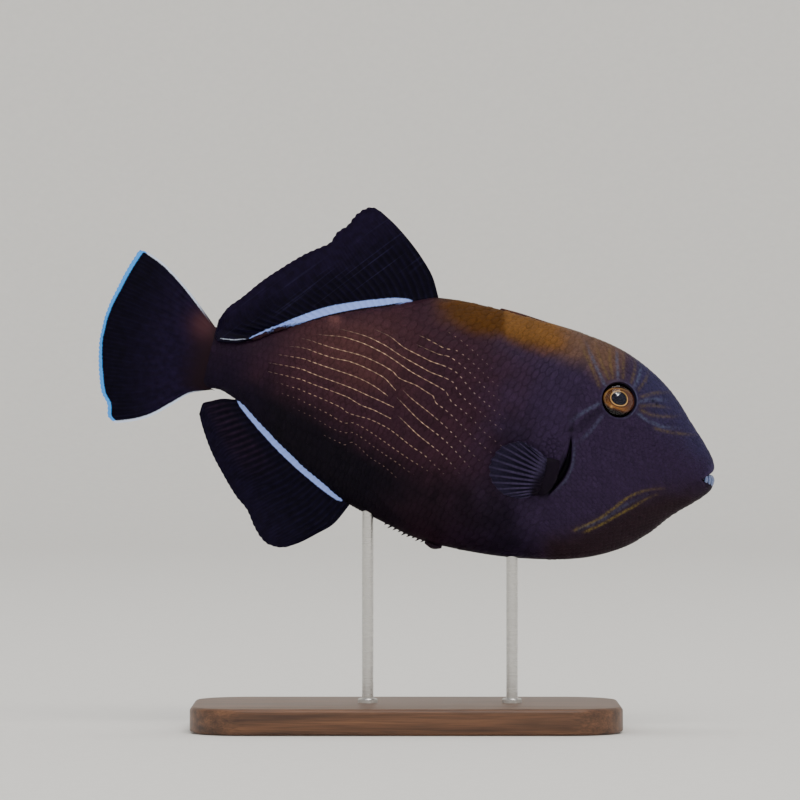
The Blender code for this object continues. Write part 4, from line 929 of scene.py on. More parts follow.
def skin_rings():
    """Stations and lifts of the skin's rings, one row a ring and one column a step round the side."""
    t = np.linspace(0, 1, SIDE_STEPS + 1)
    at_edge = BODY.look_up(BODY.points, 54.0, t)[:, 2]
    edge, opened, breadth = head_edge(at_edge), in_slit(at_edge), slit_breadth(at_edge)
    rows = []
    for w in np.linspace(0, FACE_END, LIP_RINGS)[:-1]:
        rows.append((np.full(len(t), w), -SKIN_DEPTH * rise(w, 2.5, 6.0) * np.ones(len(t))))
    for share in np.linspace(0, 1, HEAD_RINGS):
        w = FACE_END + (PLANAR_TO + 19.0 - FACE_END) * share
        beyond = max(w - PLANAR_TO, 0) / 19.0
        rows.append((min(w, PLANAR_TO) + (edge - PLANAR_TO) * beyond, np.full(len(t), -SKIN_DEPTH)))
    for offset, depth in SLIT_SECTION[1:]:
        rows.append((edge + offset * breadth, -SKIN_DEPTH - depth * opened))
    start = edge + SLIT_SECTION[-1][0] * breadth
    for share in np.linspace(0, 1, 36)[1:]:
        rows.append((start + (TRUNK_PLANAR_FROM - start) * share, np.full(len(t), -SKIN_DEPTH)))
    for w in np.linspace(TRUNK_PLANAR_FROM, STALK_END, TRUNK_RINGS)[1:]:
        rows.append((np.full(len(t), w), np.full(len(t), -SKIN_DEPTH)))
    for depth in (0.6, 1.2, 2.0):
        rows.append((np.full(len(t), STALK_END), np.full(len(t), -SKIN_DEPTH - depth)))
    return t, np.array([r[0] for r in rows]), np.array([r[1] for r in rows])


def make_skin(context):
    t, w, lift = skin_rings()
    share = np.broadcast_to(t, w.shape)
    sides = []
    for side in (-1, 1):
        plain = spot(w, share, 0.0, side)
        depth = sunk_for_eye(plain, side, lift)
        depth = depth - GROOVE_DEPTH * in_groove(w) * rise(share, 0.985, 0.997)
        for s, h in NOSTRILS:
            depth = depth - 0.8 * (1 - rise(np.hypot(plain[..., 0] - s, plain[..., 2] - h), 0.25, 0.75))
        sides.append(spot(w, share, depth, side))
        if side < 0:
            kept_depth = depth
    angle = BODY.look_up(BODY.angle, 0.0, t)
    inner = [mouth_edge(angle, inwards) for inwards in (1.0, 0.8, 0.6, 0.4, 0.2, 0.08)]
    right, left = sides
    rings = [np.concatenate([ring * [1, -1, 1], (ring * [1, 1, 1])[-2:0:-1]]) for ring in inner]
    rings += [np.concatenate([a, b[-2:0:-1]]) for a, b in zip(right, left)]
    points = np.array(rings)
    rows, columns = points.shape[:2]
    faces = grid_faces(rows, columns, closed=True)
    # Each side of the skin is flattened to its own half of the map
    shown = np.concatenate([np.zeros((len(inner), len(t))), w])
    g = (share - np.interp(w, BODY.w, BODY.middle)) * girth(w)
    g = np.concatenate([np.repeat(g[:1], len(inner), 0), g])
    lay = np.concatenate([unwrap(shown, g, -1), unwrap(shown, g, 1)[:, -2:0:-1]], axis=1).reshape(-1, 2)
    seam = unwrap(shown, g, 1)
    maps = lay[faces]
    row, column = faces // columns, faces % columns
    on_left = (column >= len(t)).any(axis=1)[:, None]
    for edge in (0, len(t) - 1):
        here = on_left & (column == edge)
        maps[here] = seam[row[here], edge]
    values = markings(points)
    depth_all = np.concatenate([np.full((len(inner), len(t)), -1.0), kept_depth])
    # Painted shade: the skin is a little darker than the plates, as shade in the grooves between them, and much darker
    # where it sinks into the mouth, the gill slit, the eye socket, the groove and the nostrils
    dark = 0.85 - 0.65 * rise(-depth_all, SKIN_DEPTH + 0.15, SKIN_DEPTH + 1.2)
    # The upper lip is paler than the lower one
    lip = (1 - rise(shown, 3.0, 5.5)) * (0.45 - 0.75 * (1 - rise(t, 0.4, 0.6)))
    dark = dark * (1 + lip)
    values["shade"] = np.concatenate([dark, dark[:, -2:0:-1]], axis=1).ravel()
    # The inside of the mouth and the end inside the tail's root are closed by a middle point
    caps, cap_maps, extra = [], [], []
    for ring in (0, rows - 1):
        extra.append(points[ring].mean(0))
        middle = rows * columns + len(extra) - 1
        i = np.arange(columns)
        cap = np.stack([ring * columns + i, ring * columns + (i + 1) % columns, np.full(columns, middle)], -1)
        caps.append(cap if ring else cap[:, ::-1])
        corner = np.array([0.97, 0.4 + 0.1 * len(extra)])
        turn = 2 * math.pi * np.stack([i, i + 1], -1) / columns
        spokes = corner + 0.01 * np.stack([np.cos(turn), np.sin(turn)], -1)
        cap_map = np.concatenate([spokes, np.broadcast_to(corner, (columns, 1, 2))], axis=1)
        cap_maps.append(cap_map if ring else cap_map[:, ::-1])
    points = np.concatenate([points.reshape(-1, 3), np.array(extra)])
    values = {key: np.concatenate([v, v[:1], v[-1:]]) for key, v in values.items()}
    skin = new_piece("skin", points, [faces, np.concatenate(caps)], [maps, np.concatenate(cap_maps)], values)
    return settle(skin, fish_skin(context), "skin", "head", "trunk", "tail_stalk")


class Lattice:
    """Rows of scales: q counts the rows down from a chosen one, and p the scales back along a row."""

    def __init__(self, row_height, row_gap, scale_length, shift):
        self.w = np.arange(0.0, STALK_END + 0.05, 0.1)
        self.first = row_height(self.w)
        self.gap = row_gap(self.w)
        self.count = np.concatenate([[0], np.cumsum(0.1 / scale_length(self.w))[:-1]])
        self.shift = shift

    def p(self, w, g):
        moved = w + self.shift(w, g)
        inside = np.interp(moved, self.w, self.count)
        below = np.minimum(moved, 0) * (self.count[1] / 0.1)
        above = np.maximum(moved - self.w[-1], 0) * ((self.count[-1] - self.count[-2]) / 0.1)
        return inside + below + above

    def q(self, w, g):
        return (np.interp(w, self.w, self.first) - g) / np.interp(w, self.w, self.gap)

    def row(self, number, w):
        """How far up the side row number is at station w."""
        return np.interp(w, self.w, self.first) - number * np.interp(w, self.w, self.gap)

    def steps(self, w, g):
        """What one scale back along a row, and one row down, add to w and to g."""
        d = 0.2
        p_w = (self.p(w + d, g) - self.p(w - d, g)) / (2 * d)
        p_g = (self.p(w, g + d) - self.p(w, g - d)) / (2 * d)
        q_w = (self.q(w + d, g) - self.q(w - d, g)) / (2 * d)
        q_g = (self.q(w, g + d) - self.q(w, g - d)) / (2 * d)
        size = p_w * q_g - p_g * q_w
        return (q_g / size, -q_w / size), (-p_g / size, p_w / size)

    def centres(self, low, high):
        """Stations and heights up the side of the scales' middles, between two stations."""
        w = np.arange(low, high, 0.1)
        found = []
        for number in range(-30, 50):
            g = self.row(number, w)
            t = share_of(w, g)
            inside = (t > 0.01) & (t < 0.99)
            if inside.sum() < 3:
                continue
            at, up = w[inside], g[inside]
            p = self.p(at, up)
            rising = np.maximum.accumulate(p)
            whole = np.arange(math.ceil(rising[0]), math.floor(rising[-1]) + 1) + 0.5 * (number % 2)
            whole = whole[(whole > rising[0]) & (whole < rising[-1])]
            spots = np.interp(whole, rising, at)
            found.append(join(spots, self.row(number, spots), np.full(len(spots), number), whole))
        return np.concatenate(found)


def trunk_lattice():
    lean = curve_through(ROW_SLOPE)
    stations = np.linspace(50.0, STALK_END, 60)
    heights = curve_through(ROW_HEIGHT)(stations)
    top = BODY.look_up(BODY.points, stations, 1.0)[:, 2] - 1.5
    up = up_the_side(stations, np.minimum(heights, top)) + np.maximum(heights - top, 0)
    first = curve_through(np.stack([stations, up], 1))
    return Lattice(first, curve_through(ROW_GAP), curve_through(SCALE_LENGTH), lambda w, g: lean(w) * g)


def head_lattice():
    def shift(w, g):
        return -COLUMN_LEAN * (np.minimum(g + 4, 0) + 0.12 * np.maximum(g - 8, 0))

    def first(w):
        return np.zeros_like(w)

    return Lattice(first, curve_through(HEAD_ROW_GAP), curve_through(HEAD_SCALE_LENGTH), shift)


def plate_outline():
    """Round of one scale, as shares of its cell, with softened corners."""
    c = PLATE_CORNER
    corners = [(0.5, 0.5 - c), (0.0, 0.5 + c), (-0.5, 0.5 - c), (-0.5, c - 0.5), (0.0, -0.5 - c), (0.5, c - 0.5)]
    outline = []
    for a, b in zip(corners, corners[1:] + corners[:1]):
        a, b = np.array(a), np.array(b)
        outline += [a + (b - a) * 0.14, a + (b - a) * 0.86]
    return np.array(outline)


def make_plates(name, lattice, centres, side, material, seed):
    """One piece of scale plates, closed and slightly domed, each bedded in the skin."""
    random = np.random.default_rng(seed)
    w, g = centres[:, 0], centres[:, 1]
    (p_w, p_g), (q_w, q_g) = lattice.steps(w, g)
    outline = plate_outline()
    sides = len(outline)
    size = 1 + 0.03 * random.standard_normal(len(w))
    tone = np.clip(1 + 0.06 * random.standard_normal(len(w)), 0.8, 1.25)
    high = 0.015 * random.standard_normal(len(w))
    # The painted shade in the grooves is faintest on the crown and nape
    faint = 0.75 * rise(share_of(w, g), 0.74, 0.86) * rise(w, 34, 44) * (1 - rise(w, 104, 118))
    stations, heights, lifts, shades = [], [], [], []
    for fill, lift in PLATE_RINGS:
        ring = outline * fill if fill else np.zeros((1, 2))
        along = ring[None, :, 0] * size[:, None]
        down = ring[None, :, 1] * size[:, None]
        stations.append(w[:, None] + along * p_w[:, None] + down * q_w[:, None])
        heights.append(g[:, None] + along * p_g[:, None] + down * q_g[:, None])
        tilt = 0.06 * along if lift > -0.2 else 0.0
        lifts.append(np.broadcast_to(lift + high[:, None] * (lift > -0.2) + tilt, along.shape))
        # Painted shade: a plate darkens on its rim, where it slopes into the groove, and is a little lighter on its
        # crown
        groove_shade = 0.86 if fill > 0.92 else (0.97 if fill > 0.8 else 1.03)
        groove_shade = 1 + (groove_shade - 1) * (1 - faint[:, None])
        shades.append(tone[:, None] * groove_shade * np.ones(along.shape))
    stations.append(w[:, None])
    heights.append(g[:, None])
    lifts.append(np.full((len(w), 1), PLATE_RINGS[0][1]))
    # The buried floor of each plate is painted darker still
    shades.append(tone[:, None] * 0.7)
    at, up, lift, shade = (np.concatenate(part, axis=1) for part in (stations, heights, lifts, shades))
    at = np.clip(at, 0, STALK_END)
    points = spot(at, np.clip(share_of(at, up), 0.001, 0.999), lift, side)
    count = at.shape[1]
    i = np.arange(sides)
    j = (i + 1) % sides
    quads = np.concatenate([np.stack([i, j, j + sides, i + sides], -1) + sides * ring for ring in range(len(PLATE_RINGS) - 2)])
    last = sides * (len(PLATE_RINGS) - 2)
    fan = np.stack([i + last, j + last, np.full(sides, last + sides)], -1)
    floor = np.stack([j, i, np.full(sides, last + sides + 1)], -1)
    tris = np.concatenate([fan, floor])
    base = (np.arange(len(w)) * count)[:, None, None]
    quads, tris = (quads[None] + base).reshape(-1, 4), (tris[None] + base).reshape(-1, 3)
    lay = unwrap(at, up, side).reshape(-1, 2)
    values = markings(points)
    values["shade"] = shade.ravel()
    piece = new_piece(name, points, [quads, tris], [lay[quads], lay[tris]], values, sharp=50)
    return settle(piece, material, "skin")


def clear_of_features(centres, reach=0.0):
    """Leaves out scales that would lie in the eye, the mouth, a nostril or the patch of scutes."""
    points = spot(centres[:, 0], share_of(centres[:, 0], centres[:, 1]))
    s, h = points[:, 0], points[:, 2]
    at, axis, _, _ = eye_frame(-1)
    away = points - at
    radius = np.linalg.norm(away - (away @ axis)[:, None] * axis, axis=1)
    keep = (radius > 7.3) | (np.abs(away @ axis) > 6)
    keep &= np.hypot(s - SCUTES_AT[0], h - SCUTES_AT[1]) > SCUTE_SPACING + 1.6
    for place_s, place_h in NOSTRILS:
        keep &= np.hypot(s - place_s, h - place_h) > 1.0
    t = share_of(centres[:, 0], centres[:, 1])
    keep &= (t > 0.012) & (t < 0.985)
    return centres[keep], h[keep]


def make_scales(context):
    skin = fish_skin(context)
    head, trunk = head_lattice(), trunk_lattice()
    on_head, h = clear_of_features(head.centres(3.2, 60.0))
    on_head = on_head[on_head[:, 0] < head_edge(h) - 0.75 - 0.5 * in_slit(h)]
    on_trunk, h = clear_of_features(trunk.centres(48.0, STALK_END - 0.3))
    border = head_edge(h) + (SLIT_SECTION[-1][0] * slit_breadth(h) - 0.2) * np.minimum(in_slit(h) * 3, 1)
    on_trunk = on_trunk[on_trunk[:, 0] > border + 1.0]
    for side, name in ((-1, "right"), (1, "left")):
        make_plates(f"head_scales_{name}", head, on_head, side, skin, 11 + side)
        make_plates(f"trunk_scales_{name}", trunk, on_trunk, side, skin, 21 + side)
        make_scutes(context, side, name)


def make_scutes(context, side, name):
    """The round patch of larger bony scutes behind the gill slit."""
    s0, h0 = SCUTES_AT
    centres = [(s0, h0, 0.95)]
    for ring, count, size in ((SCUTE_SPACING, SCUTES_ROUND, 0.8), (SCUTE_SPACING * 1.8, 12, 0.85)):
        for n in range(count):
            a = 2 * math.pi * n / count + 0.3 * ring
            centres.append((s0 + ring * math.cos(a), h0 + ring * math.sin(a), size))
    steps = 14
    turn = 2 * math.pi * np.arange(steps) / steps
    points, quads, tris, shade, lay = [], [], [], [], []
    levels = ((1.02, -0.5), (1.0, -0.1), (0.88, 0.1), (0.5, 0.26), (0.0, 0.3))
    for number, (s, h, size) in enumerate(centres):
        first = len(points)
        squash = 1 + 0.1 * math.sin(5 * number)
        for radius, lift in levels:
            ring = turn if radius else turn[:1]
            bumpy = 1 + 0.06 * np.cos(3 * ring + number)
            at_s = s + radius * size * squash * np.cos(ring) * bumpy
            at_h = h + radius * size / squash * np.sin(ring) * bumpy
            t = share_at_height(at_s, at_h)
            points += list(spot(at_s, t, lift - 0.12, side))
            lay += list(unwrap(at_s, (t - np.interp(at_s, BODY.w, BODY.middle)) * girth(at_s), side))
            # Painted shade in the groove round each scute, and painted light on its dome, lighter the higher it stands
            shade += [0.55 if lift < 0 else 0.92 + 0.4 * lift] * len(ring)
        i = np.arange(steps)
        j = (i + 1) % steps
        for ring in range(len(levels) - 2):
            quads.append(np.stack([i, j, j + steps, i + steps], -1) + first + ring * steps)
        last = first + (len(levels) - 2) * steps
        tris.append(np.stack([i + last, j + last, np.full(steps, last + steps)], -1))
    points, lay = np.array(points), np.array(lay)
    quads, tris = np.concatenate(quads), np.concatenate(tris)
    values = markings(points)
    values["shade"] = np.array(shade)
    piece = new_piece(f"scutes_{name}", points, [quads, tris], [lay[quads], lay[tris]], values, sharp=50)
    settle(piece, fish_skin(context), "skin")


def keel_look(number, w, ends):
    """How strongly a keel shows along its course, and the share of each scale that it covers."""
    row = number + 0.0 * w
    shown = rise(w, max(ends[0], 71.0), ends[0] + 9) if ends[0] < 106 else rise(w, ends[0] - 1, ends[0] + 0.5)
    shown = shown * (1 - rise(w, ends[-1] - 24, ends[-1] - 5) if ends[-1] > 120 else 1 - rise(w, ends[-1] - 6, ends[-1] + 0.5))
    shown = shown * (0.45 + 0.55 * rise(w, 76, 98)) * (1 - 0.75 * rise(row, 5.0, 10)) * (0.5 + 0.5 * rise(row, -4.5, -1))
    cover = 0.34 + 0.24 * rise(w, 90, 99) + 0.6 * rise(w, 96, 105)
    cover = cover - 0.75 * rise(row, 5.0, 9.0) - 0.35 * rise(w, 132, 150) - 0.5 * (1 - rise(row, -3.5, -1.5))
    return shown, np.clip(cover, 0.3, 1.4)


def make_keels(context):
    """The tan lines of the trunk: a low keel along each row of scales, broken into dashes and dots."""
    lattice = trunk_lattice()
    half = KEEL_WIDTH / 2
    ribbon = ((-half, -0.14), (-half * 0.55, 0.0), (0.0, KEEL_HEIGHT / 2), (half * 0.55, 0.0), (half, -0.14), (0.0, -0.35))
    for side, name in ((-1, "right"), (1, "left")):
        random = np.random.default_rng(31)
        points, faces, lays, tans = [], [], [], []
        start = 0
        for number, course in KEELS:
            ends = [course[0][0], course[-1][0]]
            w = np.arange(ends[0], ends[1], 0.14)
            g = lattice.row(curve_through(course)(w), w)
            p = lattice.p(w, g) - 0.5 * (number % 2)
            shown, cover = keel_look(number, w, ends)
            scale = np.floor(p + 0.5).astype(int)
            odd = random.uniform(0.0, 1.0, 400)
            away = np.abs(p - np.round(p))
            cover = cover * (0.85 + 0.3 * odd[(scale * 7 + 3) % 400])
            pulse = 1 - rise(away, cover / 2 - 0.09, cover / 2 + 0.09)
            shape = pulse * rise(shown, 0.02, 0.15)
            bead = 0.4 + 0.62 * (0.5 + 0.5 * np.cos(2 * np.pi * (p + 0.12 * odd[(scale * 3) % 400]))) ** 2.0
            slope = np.gradient(g, w)
            turned = np.hypot(1, slope)
            width = (0.5 + 0.5 * shape) * (0.75 + 0.25 * shown) * (0.6 + 0.5 * bead)
            rows = []
            for out, lift in ribbon:
                raised = lift + 0.08 - 0.3 * (1 - shape) * (lift > -0.3)
                rows.append((w - slope / turned * out * width, g + out * width / turned, raised))
            at, up, lift = (np.array([r[k] for r in rows]).T for k in range(3))
            keep = np.convolve(shape > 0.02, np.ones(3), "same") > 0
            quads = grid_faces(len(w), len(ribbon), closed=True)
            quads = quads[keep[quads // len(ribbon)].all(axis=1)]
            used, renumbered = np.unique(quads, return_inverse=True)
            points.append(spot(at, share_of(at, up), lift, side).reshape(-1, 3)[used])
            lays.append(unwrap(at, up, side).reshape(-1, 2)[used])
            strength = shown * (0.2 + 0.8 * pulse) * bead * (0.6 + 0.5 * odd[scale % 400])
            tans.append(np.repeat(strength, len(ribbon))[used])
            faces.append(renumbered.reshape(-1, 4) + start)
            start += len(used)
        points, faces, lays = np.concatenate(points), np.concatenate(faces), np.concatenate(lays)
        values = {"tan": np.concatenate(tans), "front": 1 - rise(points[:, 0], 88, 106)}
        piece = new_piece(f"row_keels_{name}", points, [faces], [lays[faces]], values)
        settle(piece, row_keel(context), "skin")


def lathe(centre, axis, up, forward, profile, steps, warp=None):
    """Rings of points turned about an axis from (along, radius), the turn starting at forward."""
    turn = 2 * math.pi * np.arange(steps) / steps
    rings = []
    for along, radius in profile:
        reach = radius * (warp(turn, radius) if warp else 1.0) * np.ones(steps)
        out = forward[None] * np.cos(turn)[:, None] + up[None] * np.sin(turn)[:, None]
        rings.append(centre + axis * along + out * reach[:, None])
    return np.array(rings), turn


def ring_map(rows, columns, low=0.02, high=0.98):
    """Corners on the OFBake map for rings of points: round the ring across, ring after ring up."""
    i, j = np.meshgrid(np.arange(rows - 1), np.arange(columns), indexing="ij")
    across = np.stack([j, j + 1, j + 1, j], -1) / columns
    along = np.stack([i, i, i + 1, i + 1], -1) / max(rows - 1, 1)
    spread = low + (high - low) * np.stack([across, along], -1)
    return spread.reshape(-1, 4, 2)


def make_eyes(context):
    """Eyes in layers: a clear dome, a copper iris with a pear-shaped opening, and a dark pupil behind."""
    pupil_finish = plain_finish("navy_pupil_glass", linear("#040620"), 0.4, bump_mm=0.0, gloss=0.0)
    steps = 120

    def pear(turn, radius):
        """The pupil is wider than high, with a blunt point forward and down."""
        point = np.maximum(np.cos(turn + 0.6), 0) ** 8
        oval = 1 / np.hypot(np.cos(turn) / 1.09, np.sin(turn) / 0.91)
        return 1 + (oval * (1 + 0.08 * point) - 1) * (1 - rise(radius, 3.1, 5.2))

    for side, name in ((-1, "eye_right"), (1, "eye_left")):
        at, axis, up, forward = eye_frame(side)
        ball = at + axis * (EYE_BULGE - EYE_DEPTH)
        dome = [(EYE_DEPTH * math.cos(a), EYE_RADIUS * math.sin(a)) for a in np.linspace(1.45, 0.02, 26)]
        rings, _ = lathe(ball, axis, up, forward, dome, steps)
        inner, _ = lathe(ball, axis, up, forward, [(a - 0.08, r * 0.986) for a, r in dome[::-1]], steps)
        rings = np.concatenate([rings, inner])
        faces = grid_faces(len(rings), steps, closed=True)
        cornea = new_piece(f"{name}_cornea", rings, [faces], [ring_map(len(rings), steps)])
        settle(cornea, clear_cornea(context), "eyes", name)

        radii = np.concatenate([[2.5, 2.5], np.linspace(2.55, 3.2, 14), np.linspace(3.3, 6.2, 26)])
        reach = np.concatenate([[0.0], radii[1:]])
        depths = IRIS_DEPTH * np.sqrt(1 - (radii / IRIS_RADIUS) ** 2) - 0.6 * (reach == 0)
        rings, turn = lathe(ball, axis, up, forward, list(zip(depths, radii)), steps, pear)
        off_centre = up * PUPIL_ABOVE - forward * PUPIL_BEHIND
        rings = rings + off_centre * (1 - rise(radii, 3.2, 5.0))[:, None, None]
        values = iris_values(radii[:, None], turn[None, :])
        faces = grid_faces(len(rings), steps, closed=True)
        iris = new_piece(f"{name}_iris", rings, [faces], [ring_map(len(rings), steps)], values)
        settle(iris, iris_enamel(context), "eyes")

        profile = [(3.1, 2.6), (3.5, 2.5), (3.68, 2.3), (3.8, 1.9), (3.88, 1.3), (3.92, 0.7), (3.94, 0.05)]
        rings, _ = lathe(ball + off_centre, axis, up, forward, profile, 60, pear)
        faces = grid_faces(len(rings), 60, closed=True)
        pupil = new_piece(f"{name}_pupil", rings, [faces], [ring_map(len(rings), 60)])
        settle(pupil, pupil_finish, "eyes")
        make_eye_rim(context, side, name, at, axis, up, forward)


def iris_values(radius, turn):
    """Shares of the iris's colours, with the turn counted up from the fish's front."""
    def towards(degrees, width):
        away = (turn - math.radians(degrees) + math.pi) % (2 * math.pi) - math.pi
        return np.exp(-(away / math.radians(width)) ** 2)

    radius, turn = np.broadcast_arrays(radius, turn)
    # The coloured part is wider than high, so the dark ring round it is broad above and below. This ring is partly the
    # iris's own colour and partly painted shade, where the socket's rim shades the iris's edge
    beyond = radius - (5.45 - 1.35 * np.sin(turn) ** 2 - 0.2 * towards(225, 30) + 0.5 * towards(0, 45))
    middle = rise(radius, 3.0, 3.6) * (1 - rise(beyond, -0.6, -0.1))
    ring = rise(radius, 2.56, 2.64) * (1 - rise(radius, 2.8, 2.92))
    # A painted highlight: a small bright spot low at the iris's rear, standing in for a reflection of light, mixed into
    # the gold
    painted_glint = 0.8 * np.exp(-((radius - 3.9) / 0.28) ** 2) * towards(237, 5)
    values = {
        "plum": 0.8 * towards(5, 50) * (1 - rise(beyond, -0.4, 0.0)),
        "copper": np.maximum(0.95 * towards(262, 58) * middle, 0.15 * middle),
        "arc": rise(beyond, -0.8, -0.45) * (1 - rise(beyond, -0.2, 0.0)) * np.maximum(towards(150, 50), 0.7 * towards(90, 35)),
        "gold": np.maximum(ring * (0.7 + 0.3 * towards(280, 80)), painted_glint),
        # Painted shade: black on the step down into the pupil, and dark over the outer ring
        "shade": np.clip(rise(radius, 2.48, 2.62), 0.02, 1) * (1 - 0.95 * rise(beyond, -0.15, 0.3)),
    }
    return {key: value.ravel() for key, value in values.items()}


def make_eye_rim(context, side, name, at, axis, up, forward):
    """The soft ring of skin that holds the eye, from the scales outside it down to the eyeball."""
    steps = 120
    turn = 2 * math.pi * np.arange(steps) / steps
    profile = (
        (8.2, -0.42), (7.8, -0.16), (7.45, -0.03), (7.1, 0.12), (6.85, 0.3), (6.62, 0.44), (6.42, 0.46),
        (6.26, 0.34), (6.15, 0.08), (6.1, -0.3), (6.1, -1.2), (6.15, -2.4),
    )
    rings = []
    for radius, lift in profile:
        folds = 0.04 * np.sin(17 * turn + 2) * np.sin(5 * turn) * rise(radius, 6.4, 7.2) * (1 - rise(radius, 7.4, 8.2))
        target = at + radius * (forward[None] * np.cos(turn)[:, None] + up[None] * np.sin(turn)[:, None])
        t = share_at_height(target[:, 0], target[:, 2])
        on_skin = spot(target[:, 0], t, 0.0, side)
        rings.append(on_skin + axis * (lift + folds)[:, None])
    rings = np.array(rings)
    rows = len(profile)
    faces = grid_faces(rows, steps, closed=True)
    values = markings(rings)
    # Painted shade: the rim darkens where it turns down into the socket
    inner = rise(-np.array([r for r, _ in profile]), -6.42, -6.1)
    values["shade"] = np.repeat(1.0 - 0.88 * inner, steps)
    # A thin pale line runs round the rim, plainest on its front
    pale = np.exp(-((np.array([r for r, _ in profile]) - 6.62) / 0.2) ** 2)
    values["blue"] = np.maximum(values["blue"], (pale[:, None] * (0.2 + 0.5 * rise(np.cos(turn), 0, 1))).ravel())
    values["gold"] = 0 * values["gold"]
    rim = new_piece(f"{name}_rim", rings, [faces], [ring_map(rows, steps)], values)
    settle(rim, fish_skin(context), "skin")


def make_teeth(context):
    """Eight chisel-edged incisors in each jaw, the lower ones showing between the lips."""
    enamel = plain_finish("blue_white_tooth_enamel", linear("#63729C"), 0.2, ior=1.62, grain_mm=0.6, spread=0.12)
    shape = ((0.0, 0.42, 0.5), (0.3, 0.48, 0.55), (0.6, 0.5, 0.5), (0.8, 0.45, 0.38), (0.93, 0.34, 0.24), (1.0, 0.2, 0.08))
    turn = 2 * math.pi * np.arange(12) / 12
    corner = np.sign(np.cos(turn)) * np.abs(np.cos(turn)) ** 0.6, np.sign(np.sin(turn)) * np.abs(np.sin(turn)) ** 0.6
    for upper, jaw in ((True, "upper"), (False, "lower")):
        points, faces, maps, caps, cap_maps = [], [], [], [], []
        for n in range(8):
            spread = math.radians(-66 + 132 * n / 7)
            angle = math.pi / 2 - abs(spread)
            foot = mouth_edge(angle if upper else -angle, 0.22 if upper else 0.05) * [1, 1 if spread > 0 else -1, 1]
            shows = 0.9 if upper else 2.6
            bulge = 0.0 if upper else 0.6
            out = unit(np.array([-0.3 if upper else 0.12, 0, -1.0 if upper else 1.0]))
            aim = math.atan2(foot[1], MOUTH_HALF_WIDTH)
            across = np.array([math.sin(aim), math.cos(aim), 0])
            front = unit(np.cross(out, across))
            rings = []
            for height, wide, thick in shape:
                centre = foot + out * (height * (shows + 1.6) - 1.6) + front * bulge * math.sin(math.pi * height ** 1.3)
                rings.append(centre + across * (corner[0] * wide * 1.2)[:, None] + front * (corner[1] * thick)[:, None])
            first = len(points) * len(shape) * 12
            points.append(np.array(rings).reshape(-1, 3))
            faces.append(grid_faces(len(shape), 12, closed=True) + first)
            maps.append(ring_map(len(shape), 12, 0.02, 0.9))
            i = np.arange(1, 11)
            for ring in (0, len(shape) - 1):
                base = first + ring * 12
                cap = np.stack([np.full(10, base), base + i, base + i + 1], -1)
                caps.append(cap[:, ::-1] if ring == 0 else cap)
                cap_maps.append(np.broadcast_to(np.array([[0.95, 0.95], [0.97, 0.95], [0.96, 0.97]]), (10, 3, 2)))
        piece = new_piece(
            f"teeth_{jaw}", np.concatenate(points), [np.concatenate(faces), np.concatenate(caps)],
            [np.concatenate(maps), np.concatenate(cap_maps)], sharp=60)
        settle(piece, enamel, "skin")


def path(points):
    """A function from 0 to 1 along a smooth path through (s, h) points, by distance."""
    spots = np.array(points, float)
    reach = np.concatenate([[0], np.cumsum(np.linalg.norm(np.diff(spots, axis=0), axis=1))])
    parts = [curve_through(np.stack([reach / reach[-1], spots[:, k]], 1)) for k in (0, 1)]
    return lambda t: join(parts[0](t), 0 * t, parts[1](t))


def coons(root, margin, front, rear, u, v):
    """A point within four edges: u runs from the front one to the rear one, v from the root to the margin."""
    a, b = u[..., None], v[..., None]
    corners = [root(np.zeros(1))[0], root(np.ones(1))[0], margin(np.zeros(1))[0], margin(np.ones(1))[0]]
    plane = corners[0] * (1 - a) * (1 - b) + corners[1] * a * (1 - b) + corners[2] * (1 - a) * b + corners[3] * a * b
    return root(u) * (1 - b) + margin(u) * b + front(v) * (1 - a) + rear(v) * a - plane


def on_ray(u, rays, sharp=1.0):
    """1 on a ray and 0 between two rays, for u from 0 to 1 across all of them."""
    return (0.5 + 0.5 * np.cos(2 * np.pi * u * (rays - 1))) ** sharp


def sheet_piece(name, middle, thickness, values, grows=None):
    """A closed piece about a grid of points, root first, as thick as the grid of thicknesses says."""
    along = np.gradient(middle, axis=0)
    if grows is not None:
        along[0] = grows
    normal = unit(np.cross(along, np.gradient(middle, axis=1))) * thickness[..., None] / 2
    rows, columns = thickness.shape
    near, far = middle + normal, middle - normal
    points = np.concatenate([near.reshape(-1, 3), far.reshape(-1, 3)])
    faces = grid_faces(rows, columns)
    reach = np.linspace(0, 1, rows)[:, None] * np.ones(columns)
    across = np.ones((rows, 1)) * np.linspace(0, 1, columns)
    near_map = np.stack([0.01 + 0.47 * across, 0.03 + 0.94 * reach], -1).reshape(-1, 2)
    far_map = near_map + [0.5, 0]
    shift = rows * columns
    rim = np.concatenate([
        np.arange(columns), np.arange(2, rows + 1) * columns - 1,
        (rows - 1) * columns + np.arange(columns - 2, -1, -1), np.arange(rows - 2, 0, -1) * columns])
    after = np.roll(rim, -1)
    sides = np.stack([rim, rim + shift, after + shift, after], -1)
    outwards = (near_map[rim] - near_map.mean(0)) * 0.012
    outer = near_map + 0
    outer[rim] += outwards
    side_map = np.stack([near_map[rim], outer[rim], outer[after], near_map[after]], 1)
    turned = faces[:, ::-1]
    stored = {key: np.tile(np.broadcast_to(v, (rows, columns)).ravel(), 2) for key, v in values.items()}
    return new_piece(
        name, points, [np.concatenate([faces, turned + shift, sides[:, ::-1]])],
        [np.concatenate([near_map[faces], far_map[turned], side_map[:, ::-1]])], stored)


